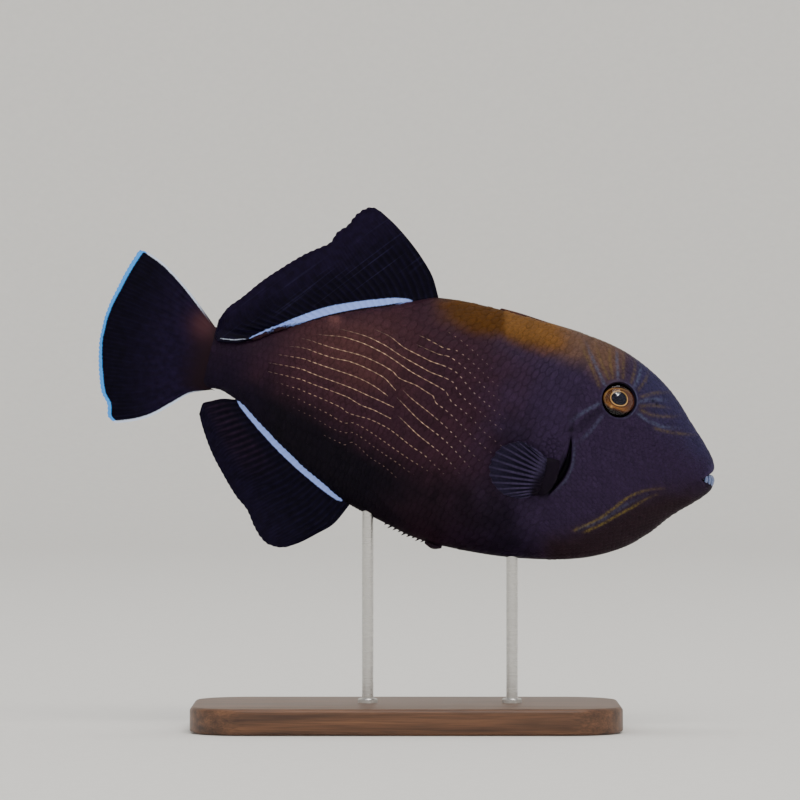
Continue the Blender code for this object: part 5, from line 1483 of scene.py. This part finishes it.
def fin_values(u, v, rays, middle, branches=None):
    """Numbers that every fin stores: its rays, the joints along them and how near its root it is."""
    ray = on_ray(u, rays, 1.6) if branches is None else branches
    reach = np.cumsum(np.linalg.norm(np.gradient(middle, axis=0), axis=2), axis=0)
    return {
        "ray": ray, "along": reach * 2 * np.pi / 0.5, "fade": 1 - rise(v, 0.0, 0.35),
        "stripe": -1.0, "margin": -1.0, "whitish": -1.0, "ray_highlights": 0.0, "warm": 0.0, "root": 0.0, "sheen_streaks": 0.0,
    }


def branched(u, v, rays, start=0.42, ends=0.62):
    """Height of the rays, each splitting in two and then in four towards the margin."""
    one, two = on_ray(u, rays, 2.0), on_ray(u, 2 * rays - 1, 1.6)
    four = on_ray(u, 4 * rays - 3, 1.3)
    first, second = rise(v, start, ends), rise(v, ends + 0.06, 0.95)
    return one * (1 - first) + two * 0.85 * first * (1 - second) + four * 0.6 * second * first


def notched(v, u, rays, depth, seed):
    """Draws the margin in a little between rays, and unevenly from ray to ray."""
    random = np.random.default_rng(seed)
    uneven = np.interp(u * (rays - 1), np.arange(rays), random.uniform(0.2, 1.0, rays))
    between = 1 - on_ray(u, rays, 0.7)
    return v * (1 - depth * rise(v, 0.7, 1.0) * (0.75 * between + 0.5 * uneven * (0.4 + 0.6 * between)))


def fin_grid(rays, per_ray, rows):
    columns = per_ray * (rays - 1) + 1
    u, v = np.meshgrid(np.linspace(0, 1, columns), np.linspace(0, 1, rows) ** 1.15)
    return u, v


def hang(at, u, v):
    """Moves a point of the dorsal fin's rear lobe, which hangs below the back, out past the flank."""
    top = back(at[..., 0])
    below = rise(HANG_FROM - (at[..., 2] - top), 0, HANG_FROM) * rise(u, 0.65, 0.88)
    below = below * np.minimum(1.0, v / 0.03)
    low = np.minimum(at[..., 2], top) - 0.6
    out = flank_breadth(at[..., 0], low) + 0.3 + HANG_CLEAR
    return join(at[..., 0], np.minimum(at[..., 1], -out * below), at[..., 2])


def rooted(middle, thickness, values, depth, way):
    """Adds a buried row below the root, so that the fin stands in the skin with no gap."""
    sunk = middle[:1] + np.array([0, 0, way]) * depth
    stretched = {key: np.concatenate([v[:1], v]) if np.ndim(v) else v for key, v in values.items()}
    return np.concatenate([sunk, middle]), np.concatenate([thickness[:1], thickness]), stretched


def make_ridge_fin(context, name, node, outline, way, base, edges, ray_count, notch, seed, sway, stripe):
    """A fin that stands on the back (way 1) or the belly (way -1), its skin and rays as one piece."""
    first, last, sag = base
    gap = 0.1

    def root(t):
        s = first + (last - first) * t
        return join(s, 0 * s, outline(s) + way * (gap - sag * rise(s, last - 9, last)))

    margin, front_edge, rear_edge = edges
    front = path([(first, outline(first) + way * gap)] + front_edge)
    rear = path([(last, outline(last) + way * (gap - sag))] + rear_edge)
    u, v = fin_grid(ray_count, 10, 84)
    middle = sway(coons(root, path(margin), front, rear, u, notched(v, u, ray_count, notch, seed)), u, v)
    rays = branched(u, v, ray_count, 0.5, 0.75)
    foot = 1.0 * np.maximum(0, 1 - v / 0.12) ** 1.5 * np.sin(np.pi * np.minimum(np.minimum(u * 8, (1 - u) * 5), 0.5))
    thickness = 0.32 - 0.1 * v + (0.55 - 0.3 * v) * rays + foot
    values = fin_values(u, v, ray_count, middle, rays)
    low, high = (curve_through(edge)(middle[..., 0]) for edge in stripe)
    out = way * (middle[..., 2] - outline(middle[..., 0]))
    values["stripe"] = np.where(middle[..., 0] < 169.2, np.minimum(high - out, out - low), -1.0)
    # The body's skin runs up to the lower edge of the stripe
    values["root"] = (1 - rise(out - low, -0.3, 0.1)) * (1 - rise(middle[..., 0], 167, 169.2))
    # The rays' outer halves are a little paler
    values["fade"] = (0.9 if way > 0 else 0.35) * rise(v, 0.45, 0.9)
    if way > 0:
        values["warm"] = 0.3 * values["root"] * rise(middle[..., 0], 148, 156)
        # Painted sheen: pale streaks across the middle of the dorsal fin
        values["sheen_streaks"] = 0.7 * rise(v, 0.2, 0.35) * (1 - rise(v, 0.85, 1.0))
        to_line = polyline_distance(middle[..., [0, 2]].reshape(-1, 2), LOBE_LINE)[0].reshape(u.shape)
        values["whitish"] = np.where(u > 0.8, 0.12 - to_line, -1.0)
    else:
        values["root"] = 0.5 * values["root"]
        # Painted highlights: short pale dashes on the rays in the middle of the anal fin's rear half
        values["ray_highlights"] = 0.6 * rays * rise(v, 0.2, 0.35) * (1 - rise(v, 0.6, 0.8)) * rise(u, 0.4, 0.7)
    middle, thickness, values = rooted(middle, thickness, values, 1.6, -way)
    fin = sheet_piece(name, middle, thickness, values, np.array([0, 0, float(way)]))
    settle(fin, fin_membrane(context), "fins", node)


def make_dorsal_fin(context):
    def sway(at, u, v):
        lean = DORSAL_LEAN * u ** 3 * v ** 1.2
        at[..., 1] = lean + DORSAL_WAVE * v ** 1.4 * np.sin(2 * np.pi * (1.3 * u + 0.1)) * (1 - u * u)
        return hang(at, u, v)

    edges = (DORSAL_MARGIN, DORSAL_FRONT, DORSAL_REAR)
    make_ridge_fin(
        context, "soft_dorsal", "soft_dorsal_fin", back, 1, DORSAL_BASE, edges, DORSAL_RAYS, 0.011, 41, sway, DORSAL_STRIPE)


def make_anal_fin(context):
    def sway(at, u, v):
        wave = ANAL_WAVE * np.sin(2 * np.pi * (1.4 * u + 0.55))
        at[..., 1] = v ** 1.4 * (ANAL_LEAN * u + wave * (1 - 0.6 * u))
        return at

    edges = (ANAL_MARGIN, ANAL_FRONT, ANAL_REAR)
    make_ridge_fin(context, "anal", "anal_fin", belly, -1, ANAL_BASE, edges, ANAL_RAYS, 0.009, 43, sway, ANAL_STRIPE)


def make_tail_fin(context):
    start = STALK_END + 0.1

    def flat_root(t):
        # The lowest rays reach further forward under the stalk
        at = section(start, math.pi * (0.5 - t))
        return join(at[..., 0] - 3.6 * rise(t, 0.8, 1.0), 0 * t, at[..., 2])

    upper = path([(start, back(start))] + TAIL_UPPER)
    low_edge = [(start - 3.6, belly(start))] + TAIL_LOWER + [TAIL_MARGIN[-1]]
    lower = path(low_edge)
    margin = path(TAIL_MARGIN)
    u, v = fin_grid(TAIL_RAYS, 32, 96)
    reach = notched(v, u, 4 * TAIL_RAYS - 3, 0.006, 47)
    middle = coons(flat_root, margin, upper, lower, u, reach)
    across = (middle[..., 2] + 30) / 60
    middle[..., 1] = TAIL_SWEEP * v ** 1.8 + TAIL_WAVE * v * v * np.sin(2 * np.pi * across * 1.1)
    rays = branched(u, v, TAIL_RAYS, 0.2, 0.36)
    lens = 2 * section(start, np.pi * (0.5 - u))[..., 1] * np.maximum(0.0, 1 - v / 0.62) ** 2.2
    sheet = 0.32 - 0.08 * v + (0.65 - 0.35 * v) * rays
    thickness = np.maximum(sheet, lens + 0.3 * rays * rise(v, 0.04, 0.14))
    values = fin_values(u, v, TAIL_RAYS, middle, rays)
    to_margin = np.linalg.norm(margin(u)[..., [0, 2]] - middle[..., [0, 2]], axis=-1)
    in_view = middle[..., [0, 2]].reshape(-1, 2)
    top_gap, low_gap = (polyline_distance(in_view, line, 1.0)[0].reshape(u.shape) for line in (
        [(start, back(start))] + TAIL_UPPER, low_edge))
    breadth = 1.4 + 0.2 * np.sin(9 * across) + 0.2 * rise(middle[..., 2], 22, 31)
    values["margin"] = breadth - to_margin
    pale_edges = np.maximum(0.75 - top_gap, 0.3 + 0.6 * rise(v, 0.05, 0.5) - low_gap)
    values["whitish"] = np.where(v > 0.06, pale_edges, -1.0)
    values["fade"] = 1 - rise(v, 0.3, 0.9)
    values["root"] = 1 - rise(v, 0.0, 0.3)
    values["warm"] = 0.9 * np.exp(-((middle[..., 0] - 185.5) / 5) ** 2 - ((middle[..., 2] - 11) / 5) ** 2)
    # A first row buried in the stalk leaves no gap at the joint
    middle = np.concatenate([middle[:1] - [1.5, 0, 0], middle])
    thickness = np.concatenate([np.maximum(thickness[:1] - 1.0, 0.3), thickness])
    values = {key: np.concatenate([v_[:1], v_]) if np.ndim(v_) else v_ for key, v_ in values.items()}
    fin = sheet_piece("tail", middle, thickness, values, np.array([1.0, 0, 0]))
    settle(fin, fin_membrane(context), "fins", "tail_fin")


def make_pectoral_fins(context):
    """Paddle-shaped fins fanned back beside the body from a fleshy lobe."""
    front, rear, tips = path(LOBE_FRONT), path(LOBE_REAR), path(PECTORAL_TIPS)
    for side, name in ((-1, "pectoral_fin_right"), (1, "pectoral_fin_left")):
        columns = 12 * (PECTORAL_RAYS - 1) + 1
        u, v = np.meshgrid(np.linspace(0, 1, columns), np.linspace(0, 1, 72))
        edge = 0.15 + 0.85 * (4 * u * (1 - u)) ** 0.45
        in_lobe = np.clip(v / LOBE_SHARE, 0, 1)
        share = np.clip((v - LOBE_SHARE) / (1 - LOBE_SHARE), 0, 1)
        share = notched(share, u, PECTORAL_RAYS, 0.03, 53)
        at = front(u) + (rear(u) - front(u)) * in_lobe[..., None]
        at = at + (tips(u) - rear(u)) * share[..., None]
        rays = on_ray(u, PECTORAL_RAYS, 1.8) * (1 - rise(share, 0.6, 0.8)) + 0.8 * on_ray(u, 2 * PECTORAL_RAYS - 1, 1.4) * rise(share, 0.6, 0.8)
        wide_lobe = (0.9 + (LOBE_THICK - 0.9) * np.sin(np.pi * (0.15 + 0.62 * in_lobe))) * edge
        lobe = (LOBE_THICK - 0.55) * 0.8 * np.maximum(0.0, 1 - share / 0.35) ** 2 * edge
        wide_ray = 0.3 + (0.7 - 0.4 * share) * rays + lobe
        blend = rise(v, LOBE_SHARE - 0.03, LOBE_SHARE + 0.03)
        wide = wide_lobe * (1 - blend) + wide_ray * blend
        lift = PECTORAL_TIP_OUT * share ** 0.7
        out = flank_breadth(at[..., 0], at[..., 2]) + 0.2 + np.maximum(wide, 0.55) / 2 + lift
        middle = join(at[..., 0], side * out, at[..., 2])
        # The fleshy lobe runs out further below, so that its border with the rays is a slant
        border = LOBE_SHARE + 0.14 * rise(u, 0.25, 1.0)
        shown = on_ray(u, PECTORAL_RAYS, 3.0) * rise(v - border, -0.03, 0.1) * (1 - 0.35 * rise(share, 0.5, 1.0))
        values = fin_values(u, v, PECTORAL_RAYS, middle, np.maximum(shown, 0.22 * rise(share, 0.45, 0.9)))
        values["fade"] = 1 - rise(v - border, -0.08, 0.1)
        fin = sheet_piece(name.replace("_fin", ""), middle, wide, values)
        settle(fin, pectoral_membrane(context), "fins", name)


def pectoral_membrane(context):
    """Fin skin as on the other fins, with paler slate rays that show one by one."""
    made, tree, shader = new_material("slate_rayed_membrane")
    if not tree:
        return made
    chosen = context.scene.triggerfish
    here = add_node(tree, "TexCoord").outputs["Object"]
    ray = add_node(tree, "Attribute", {"attribute_name": "ray"}).outputs["Fac"]
    fade = add_node(tree, "Attribute", {"attribute_name": "fade"}).outputs["Fac"]
    base = add_node(tree, "Mix", {"data_type": "RGBA", 6: (*chosen.pectoral, 1), 7: (*chosen.lobe, 1)}, {0: fade})
    colour = add_node(tree, "Mix", {"data_type": "RGBA", 7: (*chosen.pectoral_ray, 1)}, {
        0: ray, 6: base.outputs[2]})
    cloud = add_node(tree, "TexNoise", {"Scale": 1000 / 0.8, "Detail": 3.0}, {"Vector": here})
    shade = add_node(tree, "MapRange", {1: 0.3, 2: 0.7, 3: 0.75, 4: 1.25}, {0: cloud.outputs[0]})
    tone = add_node(tree, "VectorMath", {"operation": "SCALE"}, {0: colour.outputs[2], "Scale": shade.outputs[0]})
    tree.links.new(tone.outputs[0], shader.inputs["Base Color"])
    bump = add_node(tree, "Bump", {"Strength": 0.3, "Distance": 0.00006}, {"Height": cloud.outputs[0]})
    tree.links.new(bump.outputs[0], shader.inputs["Normal"])
    shader.inputs["Roughness"].default_value = 0.5
    shader.inputs["IOR"].default_value = 1.45
    shader.inputs["Specular IOR Level"].default_value = 0.08
    return made


def stack_piece(name, rings, material, slot, values=None, nodes=(), world=False, sharp=None):
    """A closed piece from rings of points, its two ends closed by middle points."""
    rings = np.array(rings)
    rows, columns = rings.shape[:2]
    points = np.concatenate([rings.reshape(-1, 3), [rings[0].mean(0)], [rings[-1].mean(0)]])
    faces = grid_faces(rows, columns, closed=True)
    i = np.arange(columns)
    j = (i + 1) % columns
    low = np.stack([j, i, np.full(columns, rows * columns)], -1)
    high = np.stack([i, j, np.full(columns, rows * columns + 1)], -1)
    high[:, :2] += (rows - 1) * columns
    turn = 2 * math.pi * np.stack([i, i + 1], -1) / columns
    spokes = 0.02 * np.stack([np.cos(turn), np.sin(turn)], -1)
    cap_maps = []
    for corner in ((0.03, 0.96), (0.09, 0.96)):
        middle = np.broadcast_to(np.array(corner), (columns, 1, 2))
        cap_maps.append(np.concatenate([np.array(corner) + spokes, middle], axis=1))
    stored = {k: np.concatenate([v, v[:1], v[-1:]]) for k, v in (values or {}).items()}
    piece = new_piece(
        name, points, [faces, np.concatenate([low, high])],
        [ring_map(rows, columns, 0.01, 0.92), np.concatenate([cap_maps[0][:, [1, 0, 2]], cap_maps[1]])],
        stored, sharp=sharp, world=world)
    return settle(piece, material, slot, *nodes)


def make_spines(context):
    """The folded spines on the back, the pelvic knob and the row of points on the belly."""
    skin = fish_skin(context)
    for number, (start, length, size) in enumerate(SPINES):
        rings = []
        turn = np.linspace(0, 2 * math.pi, 24, endpoint=False)
        for t in np.linspace(0, 1, 40):
            s = start + length * t
            blunt = min(1.0, 0.3 + t / 0.1)
            wide = size * blunt * ((1 - t) ** 0.6 * 0.9 + 0.1)
            proud = SPINE_PROUD + (SPINE_TIP_PROUD - SPINE_PROUD) * float(rise(s, *SPINE_TIP_FROM))
            top = back(s) + proud * min(1.0, (1 - t) / 0.05)
            low = top - (proud + SPINE_SINK) * (1 - 0.7 * t) * blunt
            knobs = 1 + 0.07 * math.sin(t * length * 4.2) * (1 - t)
            rings.append(join(s, wide * knobs * np.cos(turn), (top + low) / 2 + (top - low) / 2 * np.sin(turn)))
        points = np.array(rings)
        values = markings(points)
        values.update({key: share * values[key] for key, share in (("bronze", 0.25), ("amber", 0.25), ("rosy", 1.0))})
        values["shade"] = 0 * values["brown"] + 1.35
        nodes = ("first_dorsal_fin",) if number == 0 else ()
        stack_piece(f"dorsal_spine_{number + 1}", rings, skin, "skin", values, nodes)
    rings = []
    turn = np.linspace(0, 2 * math.pi, 24, endpoint=False)
    for t in np.linspace(0, 1, 24):
        s = PELVIC_AT + PELVIC_LENGTH * t
        reach = PELVIC_RADIUS * math.sin(math.pi * (0.12 + 0.8 * t))
        rough = 1 + 0.12 * np.sin(6 * turn + 9 * t) * math.sin(math.pi * t)
        top = belly(s) + 0.4
        rings.append(join(s, 0.8 * reach * np.cos(turn) * rough, top - 0.5 * (reach + 0.7) + 0.5 * (reach + 0.7) * np.sin(turn) * rough))
    points = np.array(rings)
    values = markings(points)
    values["shade"] = np.full(points.shape[0] * points.shape[1], 0.9)
    stack_piece("pelvic_knob", rings, skin, "skin", values, ("pelvic_spine",))
    for n in range(BELLY_POINTS):
        s = BELLY_POINTS_FROM + (BELLY_POINTS_TO - BELLY_POINTS_FROM) * n / (BELLY_POINTS - 1)
        foot = np.array([s, 0, belly(s) + 0.8])
        out = unit(np.array([0.75, 0, -1.0]))
        length = 0.8 + 1.1 * (0.8 + 0.3 * math.sin(2.1 * n))
        aside = np.array([0, 1.0, 0])
        other = np.cross(out, aside)
        rings = []
        for t in np.linspace(0, 1, 8):
            bend = np.array([0.3 * t * t, 0, 0])
            radius = 0.55 * (1 - t) ** 0.8 + 0.03
            ring = foot + out * length * t + bend + radius * (aside * np.cos(turn)[:, None] + other * np.sin(turn)[:, None])
            rings.append(ring)
        values = markings(np.array(rings))
        values["shade"] = np.full(8 * 24, 0.9)
        stack_piece(f"belly_point_{n + 1}", rings, skin, "skin", values)


def rounded_outline(length, depth, corner, steps):
    """Corners of a rectangle with round corners, centred on the origin."""
    points = []
    for quarter in range(4):
        sx, sy = ((1, 1), (-1, 1), (-1, -1), (1, -1))[quarter]
        for i in range(steps + 1):
            a = math.pi / 2 * (quarter + i / steps)
            points.append((sx * (length / 2 - corner) + corner * math.cos(a), sy * (depth / 2 - corner) + corner * math.sin(a)))
    return np.array(points)


def make_stand(context):
    """Walnut base with eased edges and two steel rods, each in a turned collar."""
    wood, steel = oiled_walnut(context), brushed_steel(context)
    rings = []
    levels = [(0.0, 0.9), (0.5, 0.9), (0.5, 0.25), (0.9, 0.0)]
    levels += [(BASE_HEIGHT - BASE_ROUND + BASE_ROUND * math.sin(a), BASE_ROUND * (1 - math.cos(a))) for a in np.linspace(0, math.pi / 2, 7)]
    for z, inset in levels:
        outline = rounded_outline(BASE_LENGTH - 2 * inset, BASE_DEPTH - 2 * inset, BASE_CORNER - inset, 16)
        rings.append(join(outline[:, 0], outline[:, 1], np.full(len(outline), z)) * MM)
    stack_piece("base", rings, wood, "stand_base", nodes=("stand_base",), world=True, sharp=35)
    turn = np.linspace(0, 2 * math.pi, 48, endpoint=False)
    for name, x in RODS.items():
        low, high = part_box(name)
        px, py = x + ROD_RADIUS * np.cos(turn), ROD_RADIUS * np.sin(turn)
        top = high.z / MM + 0.6
        rings = []
        for z, radius in (
            (BASE_HEIGHT - 0.5, 3.4), (BASE_HEIGHT + 1.2, 3.4), (BASE_HEIGHT + 1.55, 3.15), (BASE_HEIGHT + 1.7, 2.5),
            (BASE_HEIGHT + 1.8, ROD_RADIUS), (BASE_HEIGHT + 20, ROD_RADIUS), (top - 1.4, ROD_RADIUS), (top, ROD_RADIUS),
        ):
            rings.append(join(x + radius * np.cos(turn), radius * np.sin(turn), np.full(48, z)) * MM)
        stack_piece(name.replace("stand_", ""), rings, steel, "stand_rods", nodes=(name,), world=True, sharp=35)


def make_stage(context):
    """A round pale floor that sweeps up into a wall on every side, soft lamps and the camera."""
    chosen = context.scene.triggerfish
    turn = np.linspace(0, 2 * math.pi, 96, endpoint=False)
    profile = [(0.02, 0.0), (0.5, 0.0), (1.2, 0.0), (2.4, 0.0)]
    profile += [(2.4 + 0.9 * math.sin(a), 0.9 - 0.9 * math.cos(a)) for a in np.linspace(0.1, math.pi / 2, 14)]
    profile += [(3.31, 2.4), (3.31, 4.4)]
    rings = [join(r * np.cos(turn), r * np.sin(turn), np.full(96, z - 0.0002)) for r, z in profile]
    rings = np.array(rings)
    faces = grid_faces(len(profile), 96, closed=True)
    middle = rings.reshape(-1, 3)
    cap = np.stack([np.arange(96), (np.arange(96) + 1) % 96, np.full(96, len(middle))], -1)
    points = np.concatenate([middle, [rings[0].mean(0)]])
    flat = points[:, :2] / 7 + 0.5
    floor = new_piece("studio_floor", points, [faces, cap], [flat[faces], flat[cap]], world=True)
    floor.data.materials.append(plain_finish("matt_studio_paper", chosen.floor, 0.85, grain_mm=6.0, bump_mm=0.02, spread=0.015))
    world = context.scene.world or bpy.data.worlds.new("studio")
    context.scene.world = world
    world.use_nodes = True
    sky = world.node_tree.nodes["Background"]
    sky.inputs["Color"].default_value = (0.92, 0.95, 1.0, 1)
    sky.inputs["Strength"].default_value = chosen.sky
    lamps = (
        ("lamp_key", (0.65, -1.95, 3.0), (2.3, 1.8), chosen.key, (1.0, 0.97, 0.93)),
        ("lamp_fill", (-2.3, -2.3, 1.9), (1.6, 1.6), chosen.key * 0.15, (0.93, 0.96, 1.0)),
        ("lamp_top", (0.0, 0.65, 3.4), (2.6, 1.6), chosen.key * 0.6, (0.96, 0.98, 1.0)),
        ("lamp_eye", (0.448, -0.966, 0.917), (0.1, 0.1), chosen.key * 0.5, (1.0, 1.0, 1.0)),
    )
    for name, at, size, power, colour in lamps:
        data = bpy.data.lights.new(name, "AREA")
        data.shape, data.size, data.size_y = "RECTANGLE", *size
        data.energy, data.color = power, colour
        lamp = bpy.data.objects.new(name, data)
        lamp.location = at
        lamp.rotation_euler = (Vector((0, 0, 0.1)) - Vector(at)).to_track_quat("-Z", "Y").to_euler()
        context.scene.collection.objects.link(lamp)
    # The small lamp that puts a white spark in the eye shines on the eyes' glass alone
    glass = bpy.data.collections.new("eye_glass")
    for obj in context.scene.objects:
        if obj.name.endswith("_cornea"):
            glass.objects.link(obj)
    lamp.light_linking.receiver_collection = glass
    lamp.visible_camera = lamp.visible_diffuse = lamp.visible_transmission = False
    data = bpy.data.cameras.new("camera")
    data.lens, data.sensor_width = CAMERA_LENS, 36.0
    data.clip_start, data.clip_end = 0.01, 20
    camera = bpy.data.objects.new("camera", data)
    aim = Vector(CAMERA_AIM)
    camera.location = aim - Vector((0, CAMERA_DISTANCE, 0))
    camera.rotation_euler = (math.pi / 2, 0, 0)
    context.scene.collection.objects.link(camera)
    context.scene.camera = camera


def paint(name, what, code):
    return FloatVectorProperty(
        name=name, description=f"Colour {what}", subtype="COLOR", size=3, min=0, max=1, default=linear(code)[:3])


class TriggerfishSettings(PropertyGroup):
    """Colours and sizes that a user would change before building the model."""

    violet: paint("Cheek", "of the cheek and gill cover", "#2C2039")
    brown: paint("Trunk", "of the trunk between its lines", "#301A25")
    warm: paint("Trunk, rear", "of the warm patch on the rear trunk", "#563531")
    amber: paint("Nape, middle", "of the tan part of the bronze patch", "#6E4A22")
    # The belly colour also paints the shade behind the gill slit, round the pectoral lobe
    dark: paint("Belly", "of the lower trunk", "#080510")
    stalk: paint("Tail stalk", "of the tail stalk", "#140B20")
    chin: paint("Chin", "below the cheek line", "#24171B")
    indigo: paint("Forehead", "of the forehead and snout", "#2F2C4B")
    bronze: paint("Nape", "of the bronze patch on the back", "#4A2B03")
    rosy: paint("Crown", "above and behind the eye", "#5C4436")
    red: paint("Spot", "of the spot below the dorsal fin", "#6A4444")
    line_blue: paint("Blue lines", "of the cool lines round the eye and on the cheek", "#505872")
    line_gold: paint("Gold lines", "of the warm lines round the eye and on the cheek", "#6C5C2C")
    tan: paint("Keels", "of the lines on the trunk", "#DCB898")
    tan_front: paint("Front dots", "of the dots where the lines begin", "#B8A098")
    fin: paint("Fins", "of the fin skin", "#060412")
    fin_root: paint("Fin bases", "of the fins near the body", "#160E26")
    fin_ray: paint("Fin rays", "of the rays", "#120D26")
    # The colour of the painted highlights on the anal fin's rays
    anal_ray_highlight: paint("Anal rays", "of the middle of the anal fin's rays", "#261626")
    fin_warm: paint("Tail patch", "of the warm patch at the tail's root", "#44282E")
    # The colour of the painted sheen streaks across the dorsal fin
    fin_sheen: paint("Folds", "of the fine folds across the dorsal fin", "#2A2644")
    root: paint("Fin feet", "of the skin that runs up onto the fins", "#1C1018")
    stripe: paint("Stripes", "of the stripes along the fin bases", "#96B0FF")
    tail_blue: paint("Tail edge", "of the tail's rear margin", "#46A0FA")
    whitish: paint("Fin edges", "of the pale edges of the tail", "#D4E0FA")
    pectoral: paint("Pectoral fin", "of the pectoral fin's skin", "#090619")
    pectoral_ray: paint("Pectoral rays", "of the pectoral fin's rays", "#372F4A")
    lobe: paint("Pectoral lobe", "of the fleshy lobe", "#100816")
    iris: paint("Iris below", "of the lower iris", "#98601E")
    iris_dark: paint("Iris above", "of the upper iris", "#3C1C10")
    iris_plum: paint("Iris in front", "of the front of the iris", "#4C2E32")
    iris_arc: paint("Iris arc", "of the thin arc at the iris's upper rear", "#94703F")
    # This colour also paints the small highlight low on the iris
    iris_gold: paint("Pupil ring", "of the ring round the pupil", "#E8B868")
    wood: paint("Wood", "of the base where it is lighter", "#7A5236")
    wood_dark: paint("Wood grain", "of the base where it is darker", "#3C2417")
    floor: paint("Floor", "of the studio paper", "#F0EEEA")
    key: FloatProperty(name="Key lamp", description="Power of the key lamp", default=61.0, min=0.0, unit="POWER")
    sky: FloatProperty(name="Sky", description="Strength of the even light from all round", default=0.42, min=0.0)


class TRIGGERFISH_OT_skin(Operator):
    """One skin from the lips to the tail's root"""

    bl_idname = "triggerfish.skin"
    bl_label = "Skin"

    def execute(self, context):
        make_skin(context)
        return {"FINISHED"}


class TRIGGERFISH_OT_scales(Operator):
    """Plates over the skin, in rows along the trunk and in columns on the head"""

    bl_idname = "triggerfish.scales"
    bl_label = "Scales"

    def execute(self, context):
        make_scales(context)
        return {"FINISHED"}


class TRIGGERFISH_OT_keels(Operator):
    """Low tan keels along the rows of scales"""

    bl_idname = "triggerfish.keels"
    bl_label = "Tan lines"

    def execute(self, context):
        make_keels(context)
        return {"FINISHED"}


class TRIGGERFISH_OT_eyes(Operator):
    """Glass eyes with a copper iris, and the rims that hold them"""

    bl_idname = "triggerfish.eyes"
    bl_label = "Eyes"

    def execute(self, context):
        make_eyes(context)
        return {"FINISHED"}


class TRIGGERFISH_OT_teeth(Operator):
    """Incisors of both jaws"""

    bl_idname = "triggerfish.teeth"
    bl_label = "Teeth"

    def execute(self, context):
        make_teeth(context)
        return {"FINISHED"}


class TRIGGERFISH_OT_median_fins(Operator):
    """Soft dorsal, anal and tail fins"""

    bl_idname = "triggerfish.median_fins"
    bl_label = "Median fins"

    def execute(self, context):
        make_dorsal_fin(context)
        make_anal_fin(context)
        make_tail_fin(context)
        return {"FINISHED"}


class TRIGGERFISH_OT_pectoral_fins(Operator):
    """The two paddle-shaped fins behind the gill slits"""

    bl_idname = "triggerfish.pectoral_fins"
    bl_label = "Pectoral fins"

    def execute(self, context):
        make_pectoral_fins(context)
        return {"FINISHED"}


class TRIGGERFISH_OT_spines(Operator):
    """Folded dorsal spines, pelvic knob and belly points"""

    bl_idname = "triggerfish.spines"
    bl_label = "Spines"

    def execute(self, context):
        make_spines(context)
        return {"FINISHED"}


class TRIGGERFISH_OT_stand(Operator):
    """Walnut base and steel rods"""

    bl_idname = "triggerfish.stand"
    bl_label = "Stand"

    def execute(self, context):
        make_stand(context)
        return {"FINISHED"}


class TRIGGERFISH_OT_stage(Operator):
    """Floor, lamps and camera"""

    bl_idname = "triggerfish.stage"
    bl_label = "Stage"

    def execute(self, context):
        make_stage(context)
        return {"FINISHED"}


STEPS = (
    TRIGGERFISH_OT_skin, TRIGGERFISH_OT_scales, TRIGGERFISH_OT_keels, TRIGGERFISH_OT_eyes, TRIGGERFISH_OT_teeth,
    TRIGGERFISH_OT_median_fins, TRIGGERFISH_OT_pectoral_fins, TRIGGERFISH_OT_spines, TRIGGERFISH_OT_stand,
    TRIGGERFISH_OT_stage,
)


class TRIGGERFISH_PT_build(Panel):
    """Lists the settings and the steps that build the model."""

    bl_label = "Triggerfish"
    bl_idname = "TRIGGERFISH_PT_build"
    bl_space_type = "VIEW_3D"
    bl_region_type = "UI"
    bl_category = "Triggerfish"

    def draw(self, context):
        for name in TriggerfishSettings.__annotations__:
            self.layout.prop(context.scene.triggerfish, name)
        for item in STEPS:
            self.layout.operator(item.bl_idname)


CLASSES = (TriggerfishSettings, *STEPS, TRIGGERFISH_PT_build)


def register():
    for item in CLASSES:
        bpy.utils.register_class(item)
    bpy.types.Scene.triggerfish = PointerProperty(type=TriggerfishSettings)


def unregister():
    del bpy.types.Scene.triggerfish
    for item in reversed(CLASSES):
        bpy.utils.unregister_class(item)


def main():
    register()
    for item in STEPS:
        getattr(bpy.ops.triggerfish, item.bl_idname.split(".")[1])()


if __name__ == "__main__":
    main()
